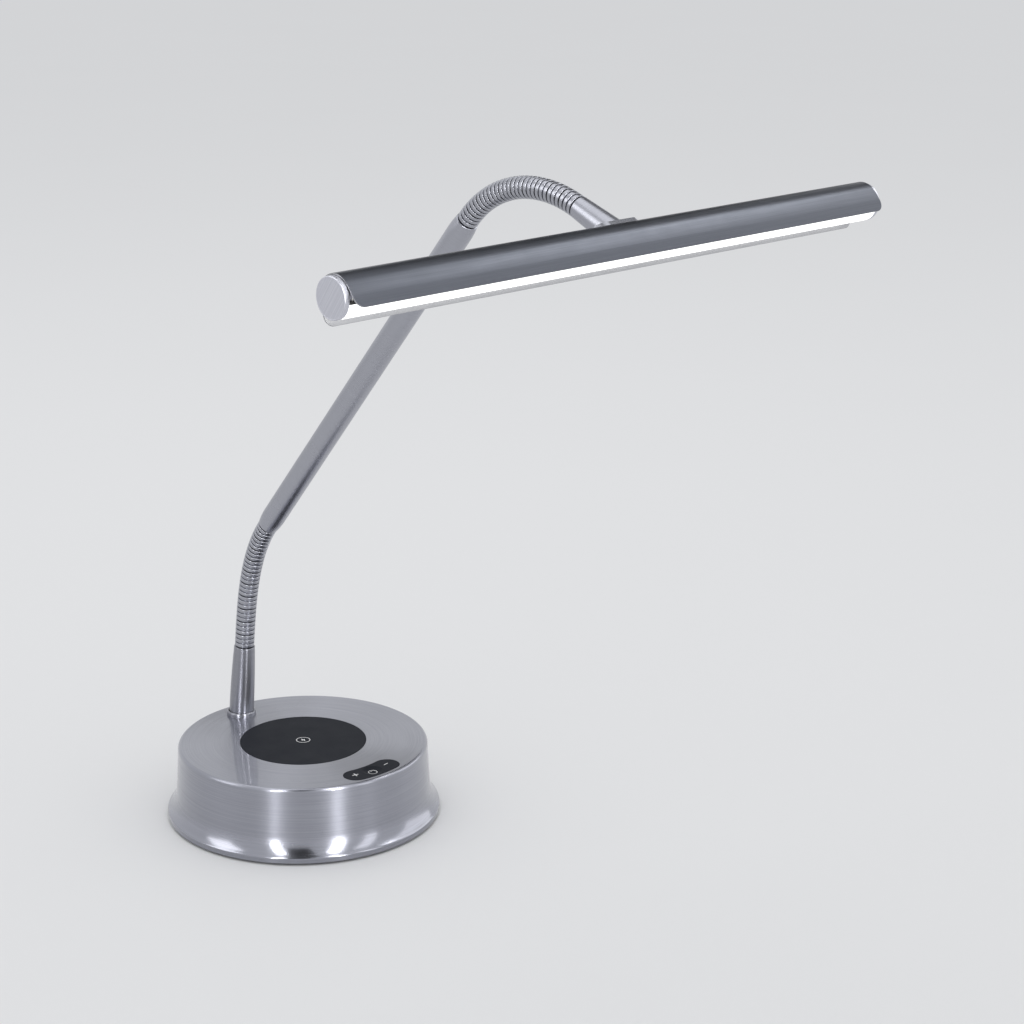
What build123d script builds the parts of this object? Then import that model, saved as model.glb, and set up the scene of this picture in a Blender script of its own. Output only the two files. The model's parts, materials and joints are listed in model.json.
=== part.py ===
from build123d import *
from math import acos, cos, degrees, radians, sin
import os

os.makedirs("parts", exist_ok=True)

# A piano lamp with a weighted round base, two goosenecks and a long horizontal
# head. Millimetres. +Z is up, the base stands on Z = 0 with its axis on Z, the
# controls face -Y and the head lies along X. "Forward" means towards -Y, and a
# "lean" is an angle forward of upright.

# ---- base housing --------------------------------------------------------------
FOOT_R = 93.0
FOOT_T = 1.5
FOOT_HOLE_R = 4.5
PLATE_R = 95.0
PLATE_T = 2.0
PLATE_SEAM = 0.1
FLANGE_R = 98.4
FLANGE_TOP = 5.2
FLARE_R = 97.7
FLARE_Z = 5.8
WALL_FOOT_R = 91.6
WALL_FOOT_Z = 18.5
WALL_TOP_R = 89.8
WALL_TOP_Z = 50.8
TOP_Z = 53.0
TOP_FLAT_R = 87.4
SHELL_T = 1.6
OPENING_SEAM = 0.1
HEM_R = 92.5
UNDER_TOP = TOP_Z - SHELL_T
PLATE_TOP = FOOT_T + PLATE_T

LUG_COUNT = 4
LUG_START = 45.0
LUG_L = 13.0
LUG_W = 12.0
LUG_H = 6.0
LUG_R = 86.5
LUG_SCREW_R = 85.0
PLATE_SCREW = (3.4, 1.75, 8.0)  # head radius, shank radius, length

# ---- ballast and driver board --------------------------------------------------
BALLAST_R = 77.5
BALLAST_T = 14.0
BALLAST_EDGE = 1.5
BALLAST_TOP = PLATE_TOP + BALLAST_T
BALLAST_SCREW = (4.2, 2.5, 12.0)
BALLAST_SCREW_RING = 42.0
BOARD_T = 1.6
DRIVER_BOARD = (50.0, 44.0)
DRIVER_BACK = 62.0
DRIVER_SCREWS = (40.0, 26.0)
DRIVER_SCREW_BACK = 57.0
STANDOFF_R = 3.5
STANDOFF_H = 2.0
SMALL_SCREW = (2.5, 1.25, 6.0, 1.5)  # head radius, shank radius, shank and head lengths
CHOKE_X = 10.0
CHOKE_W = 12.0
CHOKE_CORNER = 2.0
CHOKE_H = 6.0
CAPACITOR_R = 4.0
CAPACITOR_H = 9.0
SCREW_PLAY = 0.05

# ---- power inlet ---------------------------------------------------------------
JACK_BODY = (9.0, 13.0, 11.0)
JACK_BACK = 82.5
JACK_FACE = 91.6
JACK_NOSE_R = 4.9
JACK_SOCKET_R = 3.15
JACK_SOCKET_L = 10.0
JACK_PIN_R = 1.05
JACK_PIN_IN = 1.0

# ---- charger and touch panel ---------------------------------------------------
PAD_R = 45.4
PAD_T = 3.1
PAD_PROUD = 0.1
PAD_EDGE = 0.4
PAD_BOTTOM = TOP_Z + PAD_PROUD - PAD_T
TRAY_R = 49.0
TRAY_WALL = 2.0
TRAY_BOTTOM = 40.0
TRAY_LEDGE_R = 43.5
EAR_RING = 56.0
EAR_R = 4.0
EAR_TOP = 43.4
BOSS_R = 3.0
POST_RING = 30.0
COIL_R = 21.5
COIL_HOLE_R = 10.0
COIL_T = 1.4
COIL_AIR = 0.1
FERRITE_R = 25.0
FERRITE_T = 1.5
CHARGER_R = 40.0
CHARGER_TOP = PAD_BOTTOM - COIL_AIR - COIL_T - FERRITE_T

PANEL_RING = 76.3
PANEL_WIDTH = 18.5
PANEL_SWEEP = 21.4
PANEL_LIP = 3.0
PANEL_LIP_T = 1.6
PANEL_BOARD_W = 16.0
PANEL_SCREW = (2.5, 1.25, 3.4, 1.5)
PANEL_SCREW_ANGLE = 11.5
DISH_R = 7.75
DISH_DEPTH = 1.7
DISH_BALL_R = (DISH_R**2 + DISH_DEPTH**2) / (2 * DISH_DEPTH)

# ---- stem ----------------------------------------------------------------------
STEM_BACK = 71.8
STEM_LEAN = 6.1
STEM_L = 55.5
STEM_FOOT_R = 8.95
STEM_MID_R = 8.75
STEM_TOP_R = 7.6
STEM_SHOULDER = 0.6
COLLAR_R = 10.7
COLLAR_HOLE_R = 9.4
COLLAR_H = 3.2
COLLAR_EDGE = 0.8
STUD_R = 5.0
STUD_L = 13.0
STUD_BORE_R = 3.0
WASHER_R = 9.5
WASHER_T = 1.2
NUT_R = 8.0
NUT_H = 5.0

# ---- goosenecks ----------------------------------------------------------------
NECK_R = 7.1
NECK_LINKS = 10
RIBS_PER_LINK = 3
RIB_GAP = 0.95
RIB_DEPTH = 0.8
SOCKET_R = 5.45
SOCKET_L = 4.5
BORE_R = 4.0
SPIGOT_R = 4.85
SPIGOT_L = 2.7
SPIGOT_ROOT = 1.5
LOWER_PITCH = 10.5
LOWER_SKEW = 1.0
UPPER_PITCH = 10.47
UPPER_SKEW = -0.16

# ---- arm and ferrule -----------------------------------------------------------
ARM_LEAN = 39.95
ARM_L = 321.8
ARM_R = 8.35
ARM_END_R = 7.35
ARM_WALL = 1.2
ARM_SWAGE = 12.0
FERRULE_LEAN = 111.8
FERRULE_L = 36.0
FERRULE_START_R = 7.2
FERRULE_END_R = 8.8
FERRULE_TO_HEAD = 42.7
HEAD_DROP = 1.3

# ---- head: angles are measured from forward, towards up ------------------------
HEAD_L = 453.6
CAP_T = 3.2
CAP_R = 12.0
CAP_EDGE = 0.4
CAP_PLUG_R = 10.0
CAP_PLUG_L = 3.3
PEG_R = 1.2
PEG_L = 6.5
SHADE_L = 447.0
SHADE_R = 13.0
SHEET_T = 1.0
VISOR_TIP_R = 18.4
VISOR_TIP_ANGLE = -9.0
REAR_TIP_R = 19.6
REAR_TIP_ANGLE = -115.0
WING_CORNER = 6.0
OPENING_ANGLE = -63.0
CARRIER_L = 440.0
CARRIER_R = 11.95
CARRIER_INNER_R = 10.2
CARRIER_WEB = 2.5
PORT_RING = 8.6
PORT_SPREAD = 45.0
PORT_R = 1.25
PORT_L = 7.0
PORTS = [
    (PORT_RING * cos(radians(t)), PORT_RING * sin(radians(t)))
    for t in (180 + OPENING_ANGLE - PORT_SPREAD, 180 + OPENING_ANGLE + PORT_SPREAD)
]
LENS_R = 11.9
LENS_INNER_R = 10.6
LENS_FROM = -124.0
LENS_TO = -2.0
LENS_SEAM = 0.3
LED_BOARD = (432.0, 17.0, 1.2)
LED = (3.5, 2.8, 0.7)
LED_COUNT = 30
LED_PITCH = 14.4
SADDLE_ANGLE = 149.0
SADDLE_L = 35.0
SADDLE_W = 19.6
SADDLE_R = 15.2
SADDLE_CORNER = 8.0
SADDLE_SCREW_X = 13.0
SADDLE_SCREW = (2.8, 1.5, 8.5)
SADDLE_SCREW_FACE = 15.0
WIRE_HOLE_R = 2.5


# ---- helpers -------------------------------------------------------------------
def save(piece, label):
    """Label a finished piece and write its STEP file."""
    piece.label = label
    export_step(piece, f"parts/{label}.step")


def heading(lean):
    """Unit direction in the lamp's middle plane, lean degrees forward of upright."""
    return Vector(0, -sin(radians(lean)), cos(radians(lean)))


def across(origin, lean):
    """Plane through origin, square to that lean."""
    return Plane(origin=origin, x_dir=(1, 0, 0), z_dir=heading(lean))


def lengthwise(origin, lean):
    """Plane for turned profiles: local X is the radius, local Y runs along the lean."""
    return Plane(
        origin=origin, x_dir=(1, 0, 0), z_dir=Vector(1, 0, 0).cross(heading(lean))
    )


def turn(origin, lean, *points, mode=Mode.ADD):
    """Revolve a profile of (radius, along) points about a leaning axis."""
    with BuildSketch(lengthwise(origin, lean)) as profile:
        with BuildLine():
            Polyline(*points, close=True)
        make_face()
    revolve(profile.sketch, axis=Axis(origin, heading(lean)), mode=mode)


def flat_screw(head_r, shank_r, length):
    """Countersunk screw pointing up, its head's face on Z = 0."""
    with BuildPart() as screw:
        turn(
            (0, 0, 0),
            0,
            (0, 0),
            (head_r, 0),
            (shank_r, head_r - shank_r),
            (shank_r, length),
            (0, length),
        )
    return screw.part


def pan_screw(head_r, shank_r, length, head_h):
    """Pan-head screw on Z = 0, with its head above and its shank below."""
    with BuildPart() as screw:
        turn(
            (0, 0, 0),
            0,
            (0, -length),
            (shank_r, -length),
            (shank_r, 0),
            (head_r, 0),
            (head_r, head_h * 2 / 3),
            (head_r - head_h / 3, head_h),
            (0, head_h),
        )
    return screw.part


def group(piece, places):
    """The same piece at several places, as separate solids."""
    with BuildPart() as copies:
        with Locations(*places):
            add(piece)
    return copies.part


def ring_of(radius, count, start, height):
    """Points evenly spaced on a circle about Z."""
    turns = [radians(start + 360 / count * i) for i in range(count)]
    return [(radius * cos(t), radius * sin(t), height) for t in turns]


def upside_down(places):
    """The same places, turned over about X."""
    return [Location(place, (180, 0, 0)) for place in places]


# ---- base housing --------------------------------------------------------------
LUG_SCREWS = ring_of(LUG_SCREW_R, LUG_COUNT, LUG_START, FOOT_T)
BALLAST_SCREWS = ring_of(BALLAST_SCREW_RING, 3, 90, FOOT_T)
EARS = ring_of(EAR_RING, 3, 30, EAR_TOP - TRAY_WALL)
BOARD_Z = BALLAST_TOP + STANDOFF_H
JACK_Z = BOARD_Z + BOARD_T + JACK_BODY[2] / 2
PANEL_ARC = CenterArc((0, 0), PANEL_RING, 270 - PANEL_SWEEP / 2, PANEL_SWEEP)

with BuildPart() as base_shell:
    # the spun wall: flat top, rolled edge, gently coned side, flared foot and hem
    with BuildSketch(Plane.XZ):
        with BuildLine():
            Line((0, TOP_Z), (TOP_FLAT_R, TOP_Z))
            TangentArc((TOP_FLAT_R, TOP_Z), (WALL_TOP_R, WALL_TOP_Z), tangent=(1, 0))
            side = Line((WALL_TOP_R, WALL_TOP_Z), (WALL_FOOT_R, WALL_FOOT_Z))
            TangentArc(side @ 1, (FLARE_R, FLARE_Z), tangent=side % 1)
            Polyline(
                (FLARE_R, FLARE_Z),
                (FLANGE_R, FLANGE_TOP),
                (FLANGE_R, FOOT_T),
                (PLATE_R + PLATE_SEAM, FOOT_T),
                (PLATE_R + PLATE_SEAM, PLATE_TOP),
                (HEM_R, PLATE_TOP),
                (WALL_FOOT_R - SHELL_T, WALL_FOOT_Z),
                (WALL_TOP_R - SHELL_T, UNDER_TOP),
                (0, UNDER_TOP),
                (0, TOP_Z),
            )
        make_face()
    revolve(axis=Axis.Z)
    # lugs inside the hem that take the plate's screws
    with BuildSketch(Plane.XY.offset(PLATE_TOP)):
        with PolarLocations(LUG_R, LUG_COUNT, start_angle=LUG_START):
            Rectangle(LUG_L, LUG_W)
        with Locations(*LUG_SCREWS):
            Circle(PLATE_SCREW[1] + SCREW_PLAY, mode=Mode.SUBTRACT)
    extrude(amount=LUG_H)
    # bosses under the top that carry the charger's tray
    with BuildSketch(Plane.XY.offset(EAR_TOP)):
        with Locations(*EARS):
            Circle(BOSS_R)
            Circle(SMALL_SCREW[1] + SCREW_PLAY, mode=Mode.SUBTRACT)
    extrude(amount=UNDER_TOP - EAR_TOP)
    # openings for the pad, the panel, the stem's stud and the inlet
    with BuildSketch(Plane.XY.offset(UNDER_TOP)):
        Circle(PAD_R + OPENING_SEAM)
        SlotArc(PANEL_ARC, PANEL_WIDTH)
        with Locations((0, STEM_BACK)):
            Circle(STUD_R + OPENING_SEAM)
    extrude(amount=SHELL_T, mode=Mode.SUBTRACT)
    with BuildSketch(Plane.XZ.offset(-FLANGE_R)):
        with Locations((0, JACK_Z)):
            Circle(JACK_NOSE_R + OPENING_SEAM)
    extrude(amount=LUG_L, mode=Mode.SUBTRACT)

with BuildPart() as base_plate:
    with BuildSketch(Plane.XY.offset(FOOT_T)):
        Circle(PLATE_R)
    extrude(amount=PLATE_T)
    with Locations(*upside_down(LUG_SCREWS)):
        CounterSinkHole(
            PLATE_SCREW[1] + SCREW_PLAY, PLATE_SCREW[0] + SCREW_PLAY, counter_sink_angle=90
        )
    with Locations(*upside_down(BALLAST_SCREWS)):
        CounterSinkHole(
            BALLAST_SCREW[1] + SCREW_PLAY, BALLAST_SCREW[0] + SCREW_PLAY, counter_sink_angle=90
        )

with BuildPart() as base_foot:
    with BuildSketch():
        Circle(FOOT_R)
        with Locations(*LUG_SCREWS):
            Circle(FOOT_HOLE_R, mode=Mode.SUBTRACT)
    extrude(amount=FOOT_T)

save(base_shell.part, "base_shell")
save(base_plate.part, "base_plate")
save(base_foot.part, "base_foot")
save(group(flat_screw(*PLATE_SCREW), LUG_SCREWS), "base_screws")
save(group(flat_screw(*BALLAST_SCREW), BALLAST_SCREWS), "ballast_screws")

# ---- ballast, driver board and power inlet -------------------------------------
BOARD_SCREWS = [
    (x, DRIVER_SCREW_BACK + y, BOARD_Z + BOARD_T)
    for x in (-DRIVER_SCREWS[0] / 2, DRIVER_SCREWS[0] / 2)
    for y in (-DRIVER_SCREWS[1] / 2, DRIVER_SCREWS[1] / 2)
]

with BuildPart() as ballast:
    with BuildSketch(Plane.XY.offset(PLATE_TOP)):
        Circle(BALLAST_R)
        with Locations(*BALLAST_SCREWS):
            Circle(BALLAST_SCREW[1] + SCREW_PLAY, mode=Mode.SUBTRACT)
    extrude(amount=BALLAST_T)
    chamfer(ballast.faces().sort_by(Axis.Z)[-1].outer_wire().edges(), BALLAST_EDGE)
    with BuildSketch(Plane.XY.offset(BALLAST_TOP)):
        with Locations(*BOARD_SCREWS):
            Circle(STANDOFF_R)
    extrude(amount=STANDOFF_H)
    with BuildSketch(Plane.XY.offset(BOARD_Z)):
        with Locations(*BOARD_SCREWS):
            Circle(SMALL_SCREW[1] + SCREW_PLAY)
    extrude(amount=-SMALL_SCREW[2], mode=Mode.SUBTRACT)

with BuildPart() as driver_board:
    with BuildSketch(Plane.XY.offset(BOARD_Z)):
        with Locations((0, DRIVER_BACK)):
            Rectangle(*DRIVER_BOARD)
        with Locations(*BOARD_SCREWS):
            Circle(SMALL_SCREW[1] + SCREW_PLAY, mode=Mode.SUBTRACT)
    extrude(amount=BOARD_T)
    # coil and capacitor
    with BuildSketch(Plane.XY.offset(BOARD_Z + BOARD_T)):
        with Locations((-CHOKE_X, DRIVER_SCREW_BACK)):
            RectangleRounded(CHOKE_W, CHOKE_W, CHOKE_CORNER)
    extrude(amount=CHOKE_H)
    with BuildSketch(Plane.XY.offset(BOARD_Z + BOARD_T)):
        with Locations((CHOKE_X, DRIVER_SCREW_BACK)):
            Circle(CAPACITOR_R)
    extrude(amount=CAPACITOR_H)

with BuildPart() as dc_jack:
    with BuildSketch(Plane.XY.offset(JACK_Z - JACK_BODY[2] / 2)):
        with Locations((0, JACK_BACK)):
            Rectangle(JACK_BODY[0], JACK_BODY[1])
    extrude(amount=JACK_BODY[2])
    with BuildSketch(Plane.XZ.offset(-JACK_FACE)):
        with Locations((0, JACK_Z)):
            Circle(JACK_NOSE_R)
    extrude(amount=JACK_FACE - JACK_BACK)
    with BuildSketch(Plane.XZ.offset(-JACK_FACE)):
        with Locations((0, JACK_Z)):
            Circle(JACK_SOCKET_R)
    extrude(amount=JACK_SOCKET_L, mode=Mode.SUBTRACT)

with BuildPart() as dc_jack_contact:
    with BuildSketch(Plane.XZ.offset(JACK_SOCKET_L - JACK_FACE)):
        with Locations((0, JACK_Z)):
            Circle(JACK_PIN_R)
    extrude(amount=JACK_PIN_IN - JACK_SOCKET_L)
    chamfer(dc_jack_contact.faces().sort_by(Axis.Y)[-1].edges(), JACK_PIN_R / 2)

save(ballast.part, "ballast")
save(driver_board.part, "driver_board")
save(group(pan_screw(*SMALL_SCREW), BOARD_SCREWS), "board_screws")
save(dc_jack.part, "dc_jack")
save(dc_jack_contact.part, "dc_jack_contact")

# ---- charger -------------------------------------------------------------------
with BuildPart() as charging_pad:
    with BuildSketch(Plane.XY.offset(PAD_BOTTOM)):
        Circle(PAD_R)
    extrude(amount=PAD_T)
    chamfer(charging_pad.faces().sort_by(Axis.Z)[-1].edges(), PAD_EDGE)

with BuildPart() as charging_tray:
    turn(
        (0, 0, 0),
        0,
        (0, TRAY_BOTTOM),
        (TRAY_R, TRAY_BOTTOM),
        (TRAY_R, UNDER_TOP),
        (TRAY_R - TRAY_WALL, UNDER_TOP),
        (TRAY_R - TRAY_WALL, PAD_BOTTOM),
        (TRAY_LEDGE_R, PAD_BOTTOM),
        (TRAY_LEDGE_R, PAD_BOTTOM - TRAY_WALL),
        (TRAY_R - TRAY_WALL, PAD_BOTTOM - TRAY_WALL),
        (TRAY_R - TRAY_WALL, TRAY_BOTTOM + TRAY_WALL),
        (0, TRAY_BOTTOM + TRAY_WALL),
    )
    # ears that reach the shell's bosses
    with BuildSketch(Plane.XY.offset(EAR_TOP - TRAY_WALL)):
        with PolarLocations((TRAY_R + EAR_RING) / 2, 3, start_angle=30):
            Rectangle(EAR_RING - TRAY_R + 2, 2 * EAR_R)
        with Locations(*EARS):
            Circle(EAR_R)
            Circle(SMALL_SCREW[1] + SCREW_PLAY, mode=Mode.SUBTRACT)
    extrude(amount=TRAY_WALL)
    # posts under the circuit board
    with BuildSketch(Plane.XY.offset(TRAY_BOTTOM + TRAY_WALL)):
        with PolarLocations(POST_RING, 3, start_angle=90):
            Circle(BOSS_R)
    extrude(amount=CHARGER_TOP - BOARD_T - TRAY_BOTTOM - TRAY_WALL)

with BuildPart() as charger_board:
    with BuildSketch(Plane.XY.offset(CHARGER_TOP)):
        Circle(CHARGER_R)
    extrude(amount=-BOARD_T)

with BuildPart() as ferrite_sheet:
    with BuildSketch(Plane.XY.offset(CHARGER_TOP)):
        Circle(FERRITE_R)
    extrude(amount=FERRITE_T)

with BuildPart() as charging_coil:
    with BuildSketch(Plane.XY.offset(CHARGER_TOP + FERRITE_T)):
        Circle(COIL_R)
        Circle(COIL_HOLE_R, mode=Mode.SUBTRACT)
    extrude(amount=COIL_T)

save(charging_pad.part, "charging_pad")
save(charging_tray.part, "charging_tray")
save(group(pan_screw(*SMALL_SCREW), upside_down(EARS)), "tray_screws")
save(charger_board.part, "charger_board")
save(ferrite_sheet.part, "ferrite_sheet")
save(charging_coil.part, "charging_coil")

# ---- touch panel ---------------------------------------------------------------
PANEL_TOP = TOP_Z + PAD_PROUD
PANEL_UNDER = UNDER_TOP - PANEL_LIP_T
PANEL_SCREWS = [
    (side * PANEL_RING * sin(radians(PANEL_SCREW_ANGLE)),
     -PANEL_RING * cos(radians(PANEL_SCREW_ANGLE)), PANEL_UNDER - BOARD_T)
    for side in (-1, 1)
]

with BuildPart() as control_panel:
    with BuildSketch(Plane.XY.offset(PANEL_UNDER)):
        SlotArc(PANEL_ARC, PANEL_WIDTH + PANEL_LIP)
    extrude(amount=PANEL_LIP_T)
    with BuildSketch(Plane.XY.offset(UNDER_TOP)):
        SlotArc(PANEL_ARC, PANEL_WIDTH - 2 * OPENING_SEAM)
    extrude(amount=PANEL_TOP - UNDER_TOP)
    # finger dish: a shallow ball-shaped scoop
    with Locations((0, -PANEL_RING, PANEL_TOP - DISH_DEPTH + DISH_BALL_R)):
        Sphere(DISH_BALL_R, mode=Mode.SUBTRACT)
    with BuildSketch(Plane.XY.offset(PANEL_UNDER)):
        with Locations(*PANEL_SCREWS):
            Circle(SMALL_SCREW[1] + SCREW_PLAY)
    extrude(amount=PANEL_SCREW[2], mode=Mode.SUBTRACT)

with BuildPart() as control_board:
    with BuildSketch(Plane.XY.offset(PANEL_UNDER)):
        SlotArc(PANEL_ARC, PANEL_BOARD_W)
        with Locations(*PANEL_SCREWS):
            Circle(SMALL_SCREW[1] + SCREW_PLAY, mode=Mode.SUBTRACT)
    extrude(amount=-BOARD_T)

save(control_panel.part, "control_panel")
save(control_board.part, "control_board")
save(group(pan_screw(*PANEL_SCREW), upside_down(PANEL_SCREWS)), "panel_screws")

# ---- stem ----------------------------------------------------------------------
STEM_FOOT = Vector(0, STEM_BACK, TOP_Z)
STEM_END = STEM_FOOT + heading(STEM_LEAN) * STEM_L


def spigot(origin, lean):
    """Pin on an end face at origin that enters the next piece's socket."""
    turn(
        origin,
        lean,
        (0, -SPIGOT_ROOT),
        (SPIGOT_R, -SPIGOT_ROOT),
        (SPIGOT_R, RIB_GAP / 2 + SPIGOT_L),
        (0, RIB_GAP / 2 + SPIGOT_L),
    )


with BuildPart() as stem:
    turn(
        STEM_FOOT,
        STEM_LEAN,
        (0, -STEM_SHOULDER),
        (STEM_FOOT_R, -STEM_SHOULDER),
        (STEM_MID_R, STEM_L / 2),
        (STEM_TOP_R, STEM_L - STEM_SHOULDER),
        (NECK_R, STEM_L),
        (0, STEM_L),
    )
    spigot(STEM_END, STEM_LEAN)
    split(bisect_by=Plane.XY.offset(TOP_Z), keep=Keep.TOP)
    # threaded stud under the stem
    with BuildSketch(Plane.XY.offset(TOP_Z)):
        with Locations((0, STEM_BACK)):
            Circle(STUD_R)
    extrude(amount=-STUD_L)
    # lead channel, upright in the stud and then along the stem
    with BuildSketch(Plane.XY.offset(TOP_Z - STUD_L)):
        with Locations((0, STEM_BACK)):
            Circle(STUD_BORE_R)
    extrude(amount=STUD_L + BORE_R, mode=Mode.SUBTRACT)
    with BuildSketch(across(STEM_FOOT, STEM_LEAN).offset(BORE_R)):
        Circle(BORE_R)
    extrude(amount=STEM_L, mode=Mode.SUBTRACT)

with BuildPart() as stem_collar:
    with BuildSketch(Plane.XY.offset(TOP_Z)):
        with Locations((0, STEM_BACK)):
            Circle(COLLAR_R)
    extrude(amount=COLLAR_H)
    chamfer(stem_collar.faces().sort_by(Axis.Z)[-1].edges(), COLLAR_EDGE)
    with BuildSketch(Plane.XY.offset(TOP_Z)):
        with Locations((0, STEM_BACK)):
            Circle(COLLAR_HOLE_R)
    extrude(amount=COLLAR_H, mode=Mode.SUBTRACT)

with BuildPart() as stem_washer:
    with BuildSketch(Plane.XY.offset(UNDER_TOP)):
        with Locations((0, STEM_BACK)):
            Circle(WASHER_R)
            Circle(STUD_R + SCREW_PLAY, mode=Mode.SUBTRACT)
    extrude(amount=-WASHER_T)

with BuildPart() as stem_nut:
    with BuildSketch(Plane.XY.offset(UNDER_TOP - WASHER_T)):
        with Locations((0, STEM_BACK)):
            RegularPolygon(NUT_R, 6)
            Circle(STUD_R + SCREW_PLAY, mode=Mode.SUBTRACT)
    extrude(amount=-NUT_H)

save(stem.part, "stem")
save(stem_collar.part, "stem_collar")
save(stem_washer.part, "stem_washer")
save(stem_nut.part, "stem_nut")


# ---- goosenecks ----------------------------------------------------------------
def neck_course(start, lean_from, lean_to, pitch, skew):
    """Pivots with their leans, the links' own leans, and the end of a gooseneck.

    The lean grows from one end to the other as u + skew * u * (u - 1), where u
    runs from 0 to 1. Each link is straight and lies along a chord of the bend.
    """

    def lean_at(u):
        return lean_from + (lean_to - lean_from) * (u + skew * u * (u - 1))

    point = start + heading(lean_from) * (RIB_GAP / 2)
    pivots = [(point, lean_from)]
    chords = []
    for i in range(NECK_LINKS):
        chords.append(lean_at((i + 0.5) / NECK_LINKS))
        point = point + heading(chords[-1]) * pitch
        pivots.append((point, lean_at((i + 1) / NECK_LINKS)))
    return pivots, chords, point + heading(lean_to) * (RIB_GAP / 2)


def neck_link(below, above, chord, pitch):
    """One link: three ribs, a socket at its lower end and a spigot at its upper end."""
    rib = pitch / RIBS_PER_LINK
    half_gap = RIB_GAP / 2
    origin = below[0]
    grooves = []
    for i in range(1, RIBS_PER_LINK):
        grooves.append((NECK_R, i * rib - half_gap))
        grooves.append((NECK_R - RIB_DEPTH, i * rib))
        grooves.append((NECK_R, i * rib + half_gap))
    with BuildPart() as link:
        # ribbed sleeve, trimmed square to the bend at both ends
        turn(
            origin,
            chord,
            (0, -1),
            (NECK_R, -1),
            *grooves,
            (NECK_R, pitch + 1),
            (0, pitch + 1),
        )
        split(bisect_by=across(*below).offset(half_gap), keep=Keep.TOP)
        split(bisect_by=across(*above).offset(-half_gap), keep=Keep.BOTTOM)
        spigot(above[0] - heading(chord) * half_gap, chord)
        # stepped bore: its mouth is wide enough for the spigot to rock in
        turn(
            origin,
            chord,
            (0, 0),
            (SOCKET_R, 0),
            (SOCKET_R, SOCKET_L),
            (BORE_R, SOCKET_L),
            (BORE_R, pitch + 2 * SPIGOT_L),
            (0, pitch + 2 * SPIGOT_L),
            mode=Mode.SUBTRACT,
        )
    return link.part


def save_neck(course, pitch, label):
    """Build and save every link of a gooseneck, from its lower end up."""
    pivots, chords, end = course
    for i in range(NECK_LINKS):
        link = neck_link(pivots[i], pivots[i + 1], chords[i], pitch)
        save(link, f"{label}_neck_link_{i + 1:02d}")


LOWER_COURSE = neck_course(STEM_END, STEM_LEAN, ARM_LEAN, LOWER_PITCH, LOWER_SKEW)
ARM_START = LOWER_COURSE[2]
ARM_END = ARM_START + heading(ARM_LEAN) * ARM_L
UPPER_COURSE = neck_course(ARM_END, ARM_LEAN, FERRULE_LEAN, UPPER_PITCH, UPPER_SKEW)
FERRULE_START = UPPER_COURSE[2]
HEAD = (
    FERRULE_START
    + heading(FERRULE_LEAN) * FERRULE_TO_HEAD
    + heading(FERRULE_LEAN + 90) * HEAD_DROP
)

save_neck(LOWER_COURSE, LOWER_PITCH, "lower")
save_neck(UPPER_COURSE, UPPER_PITCH, "upper")

# ---- arm -----------------------------------------------------------------------
ARM_TIP = ARM_L + RIB_GAP / 2 + SPIGOT_L

with BuildPart() as arm_tube:
    with BuildSketch(lengthwise(ARM_START, ARM_LEAN)):
        with BuildLine():
            TangentArc((ARM_R, ARM_SWAGE), (ARM_END_R, 0), tangent=(0, -1))
            Polyline(
                (ARM_END_R, 0),
                (SOCKET_R, 0),
                (SOCKET_R, SOCKET_L),
                (BORE_R, SOCKET_L),
                (BORE_R, ARM_SWAGE),
                (ARM_R - ARM_WALL, 2 * ARM_SWAGE),
                (ARM_R - ARM_WALL, ARM_L - 2 * ARM_SWAGE),
                (BORE_R, ARM_L - ARM_SWAGE),
                (BORE_R, ARM_TIP),
                (SPIGOT_R, ARM_TIP),
                (SPIGOT_R, ARM_L),
                (ARM_END_R, ARM_L),
            )
            TangentArc((ARM_R, ARM_L - ARM_SWAGE), (ARM_END_R, ARM_L), tangent=(0, 1))
            Line((ARM_R, ARM_SWAGE), (ARM_R, ARM_L - ARM_SWAGE))
        make_face()
    revolve(axis=Axis(ARM_START, heading(ARM_LEAN)))

save(arm_tube.part, "arm_tube")

# ---- head ----------------------------------------------------------------------
SECTION = Plane(origin=HEAD, x_dir=(0, -1, 0), z_dir=(-1, 0, 0))
VISOR_BEND = VISOR_TIP_ANGLE + degrees(acos(SHADE_R / VISOR_TIP_R))
REAR_BEND = 360 + REAR_TIP_ANGLE - degrees(acos(SHADE_R / REAR_TIP_R))


def polar(radius, angle):
    """Point of the head's section, from its axis."""
    return (radius * cos(radians(angle)), radius * sin(radians(angle)))


def inside(point, angle):
    """Point one sheet's thickness inside a point of the shade's outer face."""
    return (point[0] - SHEET_T * cos(radians(angle)), point[1] - SHEET_T * sin(radians(angle)))


def facing(angle, distance):
    """Plane at a distance from the head's axis that faces out at that angle."""
    out = Vector(0, -cos(radians(angle)), sin(radians(angle)))
    return Plane(origin=HEAD + out * distance, x_dir=(1, 0, 0), z_dir=out)


def rolled_strip(inner, outer, start, end, length):
    """Strip rolled about the head's axis."""
    middle = (start + end) / 2
    with BuildPart() as strip:
        with BuildSketch(SECTION):
            with BuildLine():
                ThreePointArc(polar(outer, start), polar(outer, middle), polar(outer, end))
                Line(polar(outer, end), polar(inner, end))
                ThreePointArc(polar(inner, end), polar(inner, middle), polar(inner, start))
                Line(polar(inner, start), polar(outer, start))
            make_face()
        extrude(amount=length / 2, both=True)
    return strip.part


def wire_hole():
    """Cut the lead's way from the ferrule to the light board."""
    with BuildSketch(across(FERRULE_START, FERRULE_LEAN)) as hole:
        Circle(WIRE_HOLE_R)
    extrude(hole.sketch, amount=FERRULE_TO_HEAD, mode=Mode.SUBTRACT)


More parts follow.
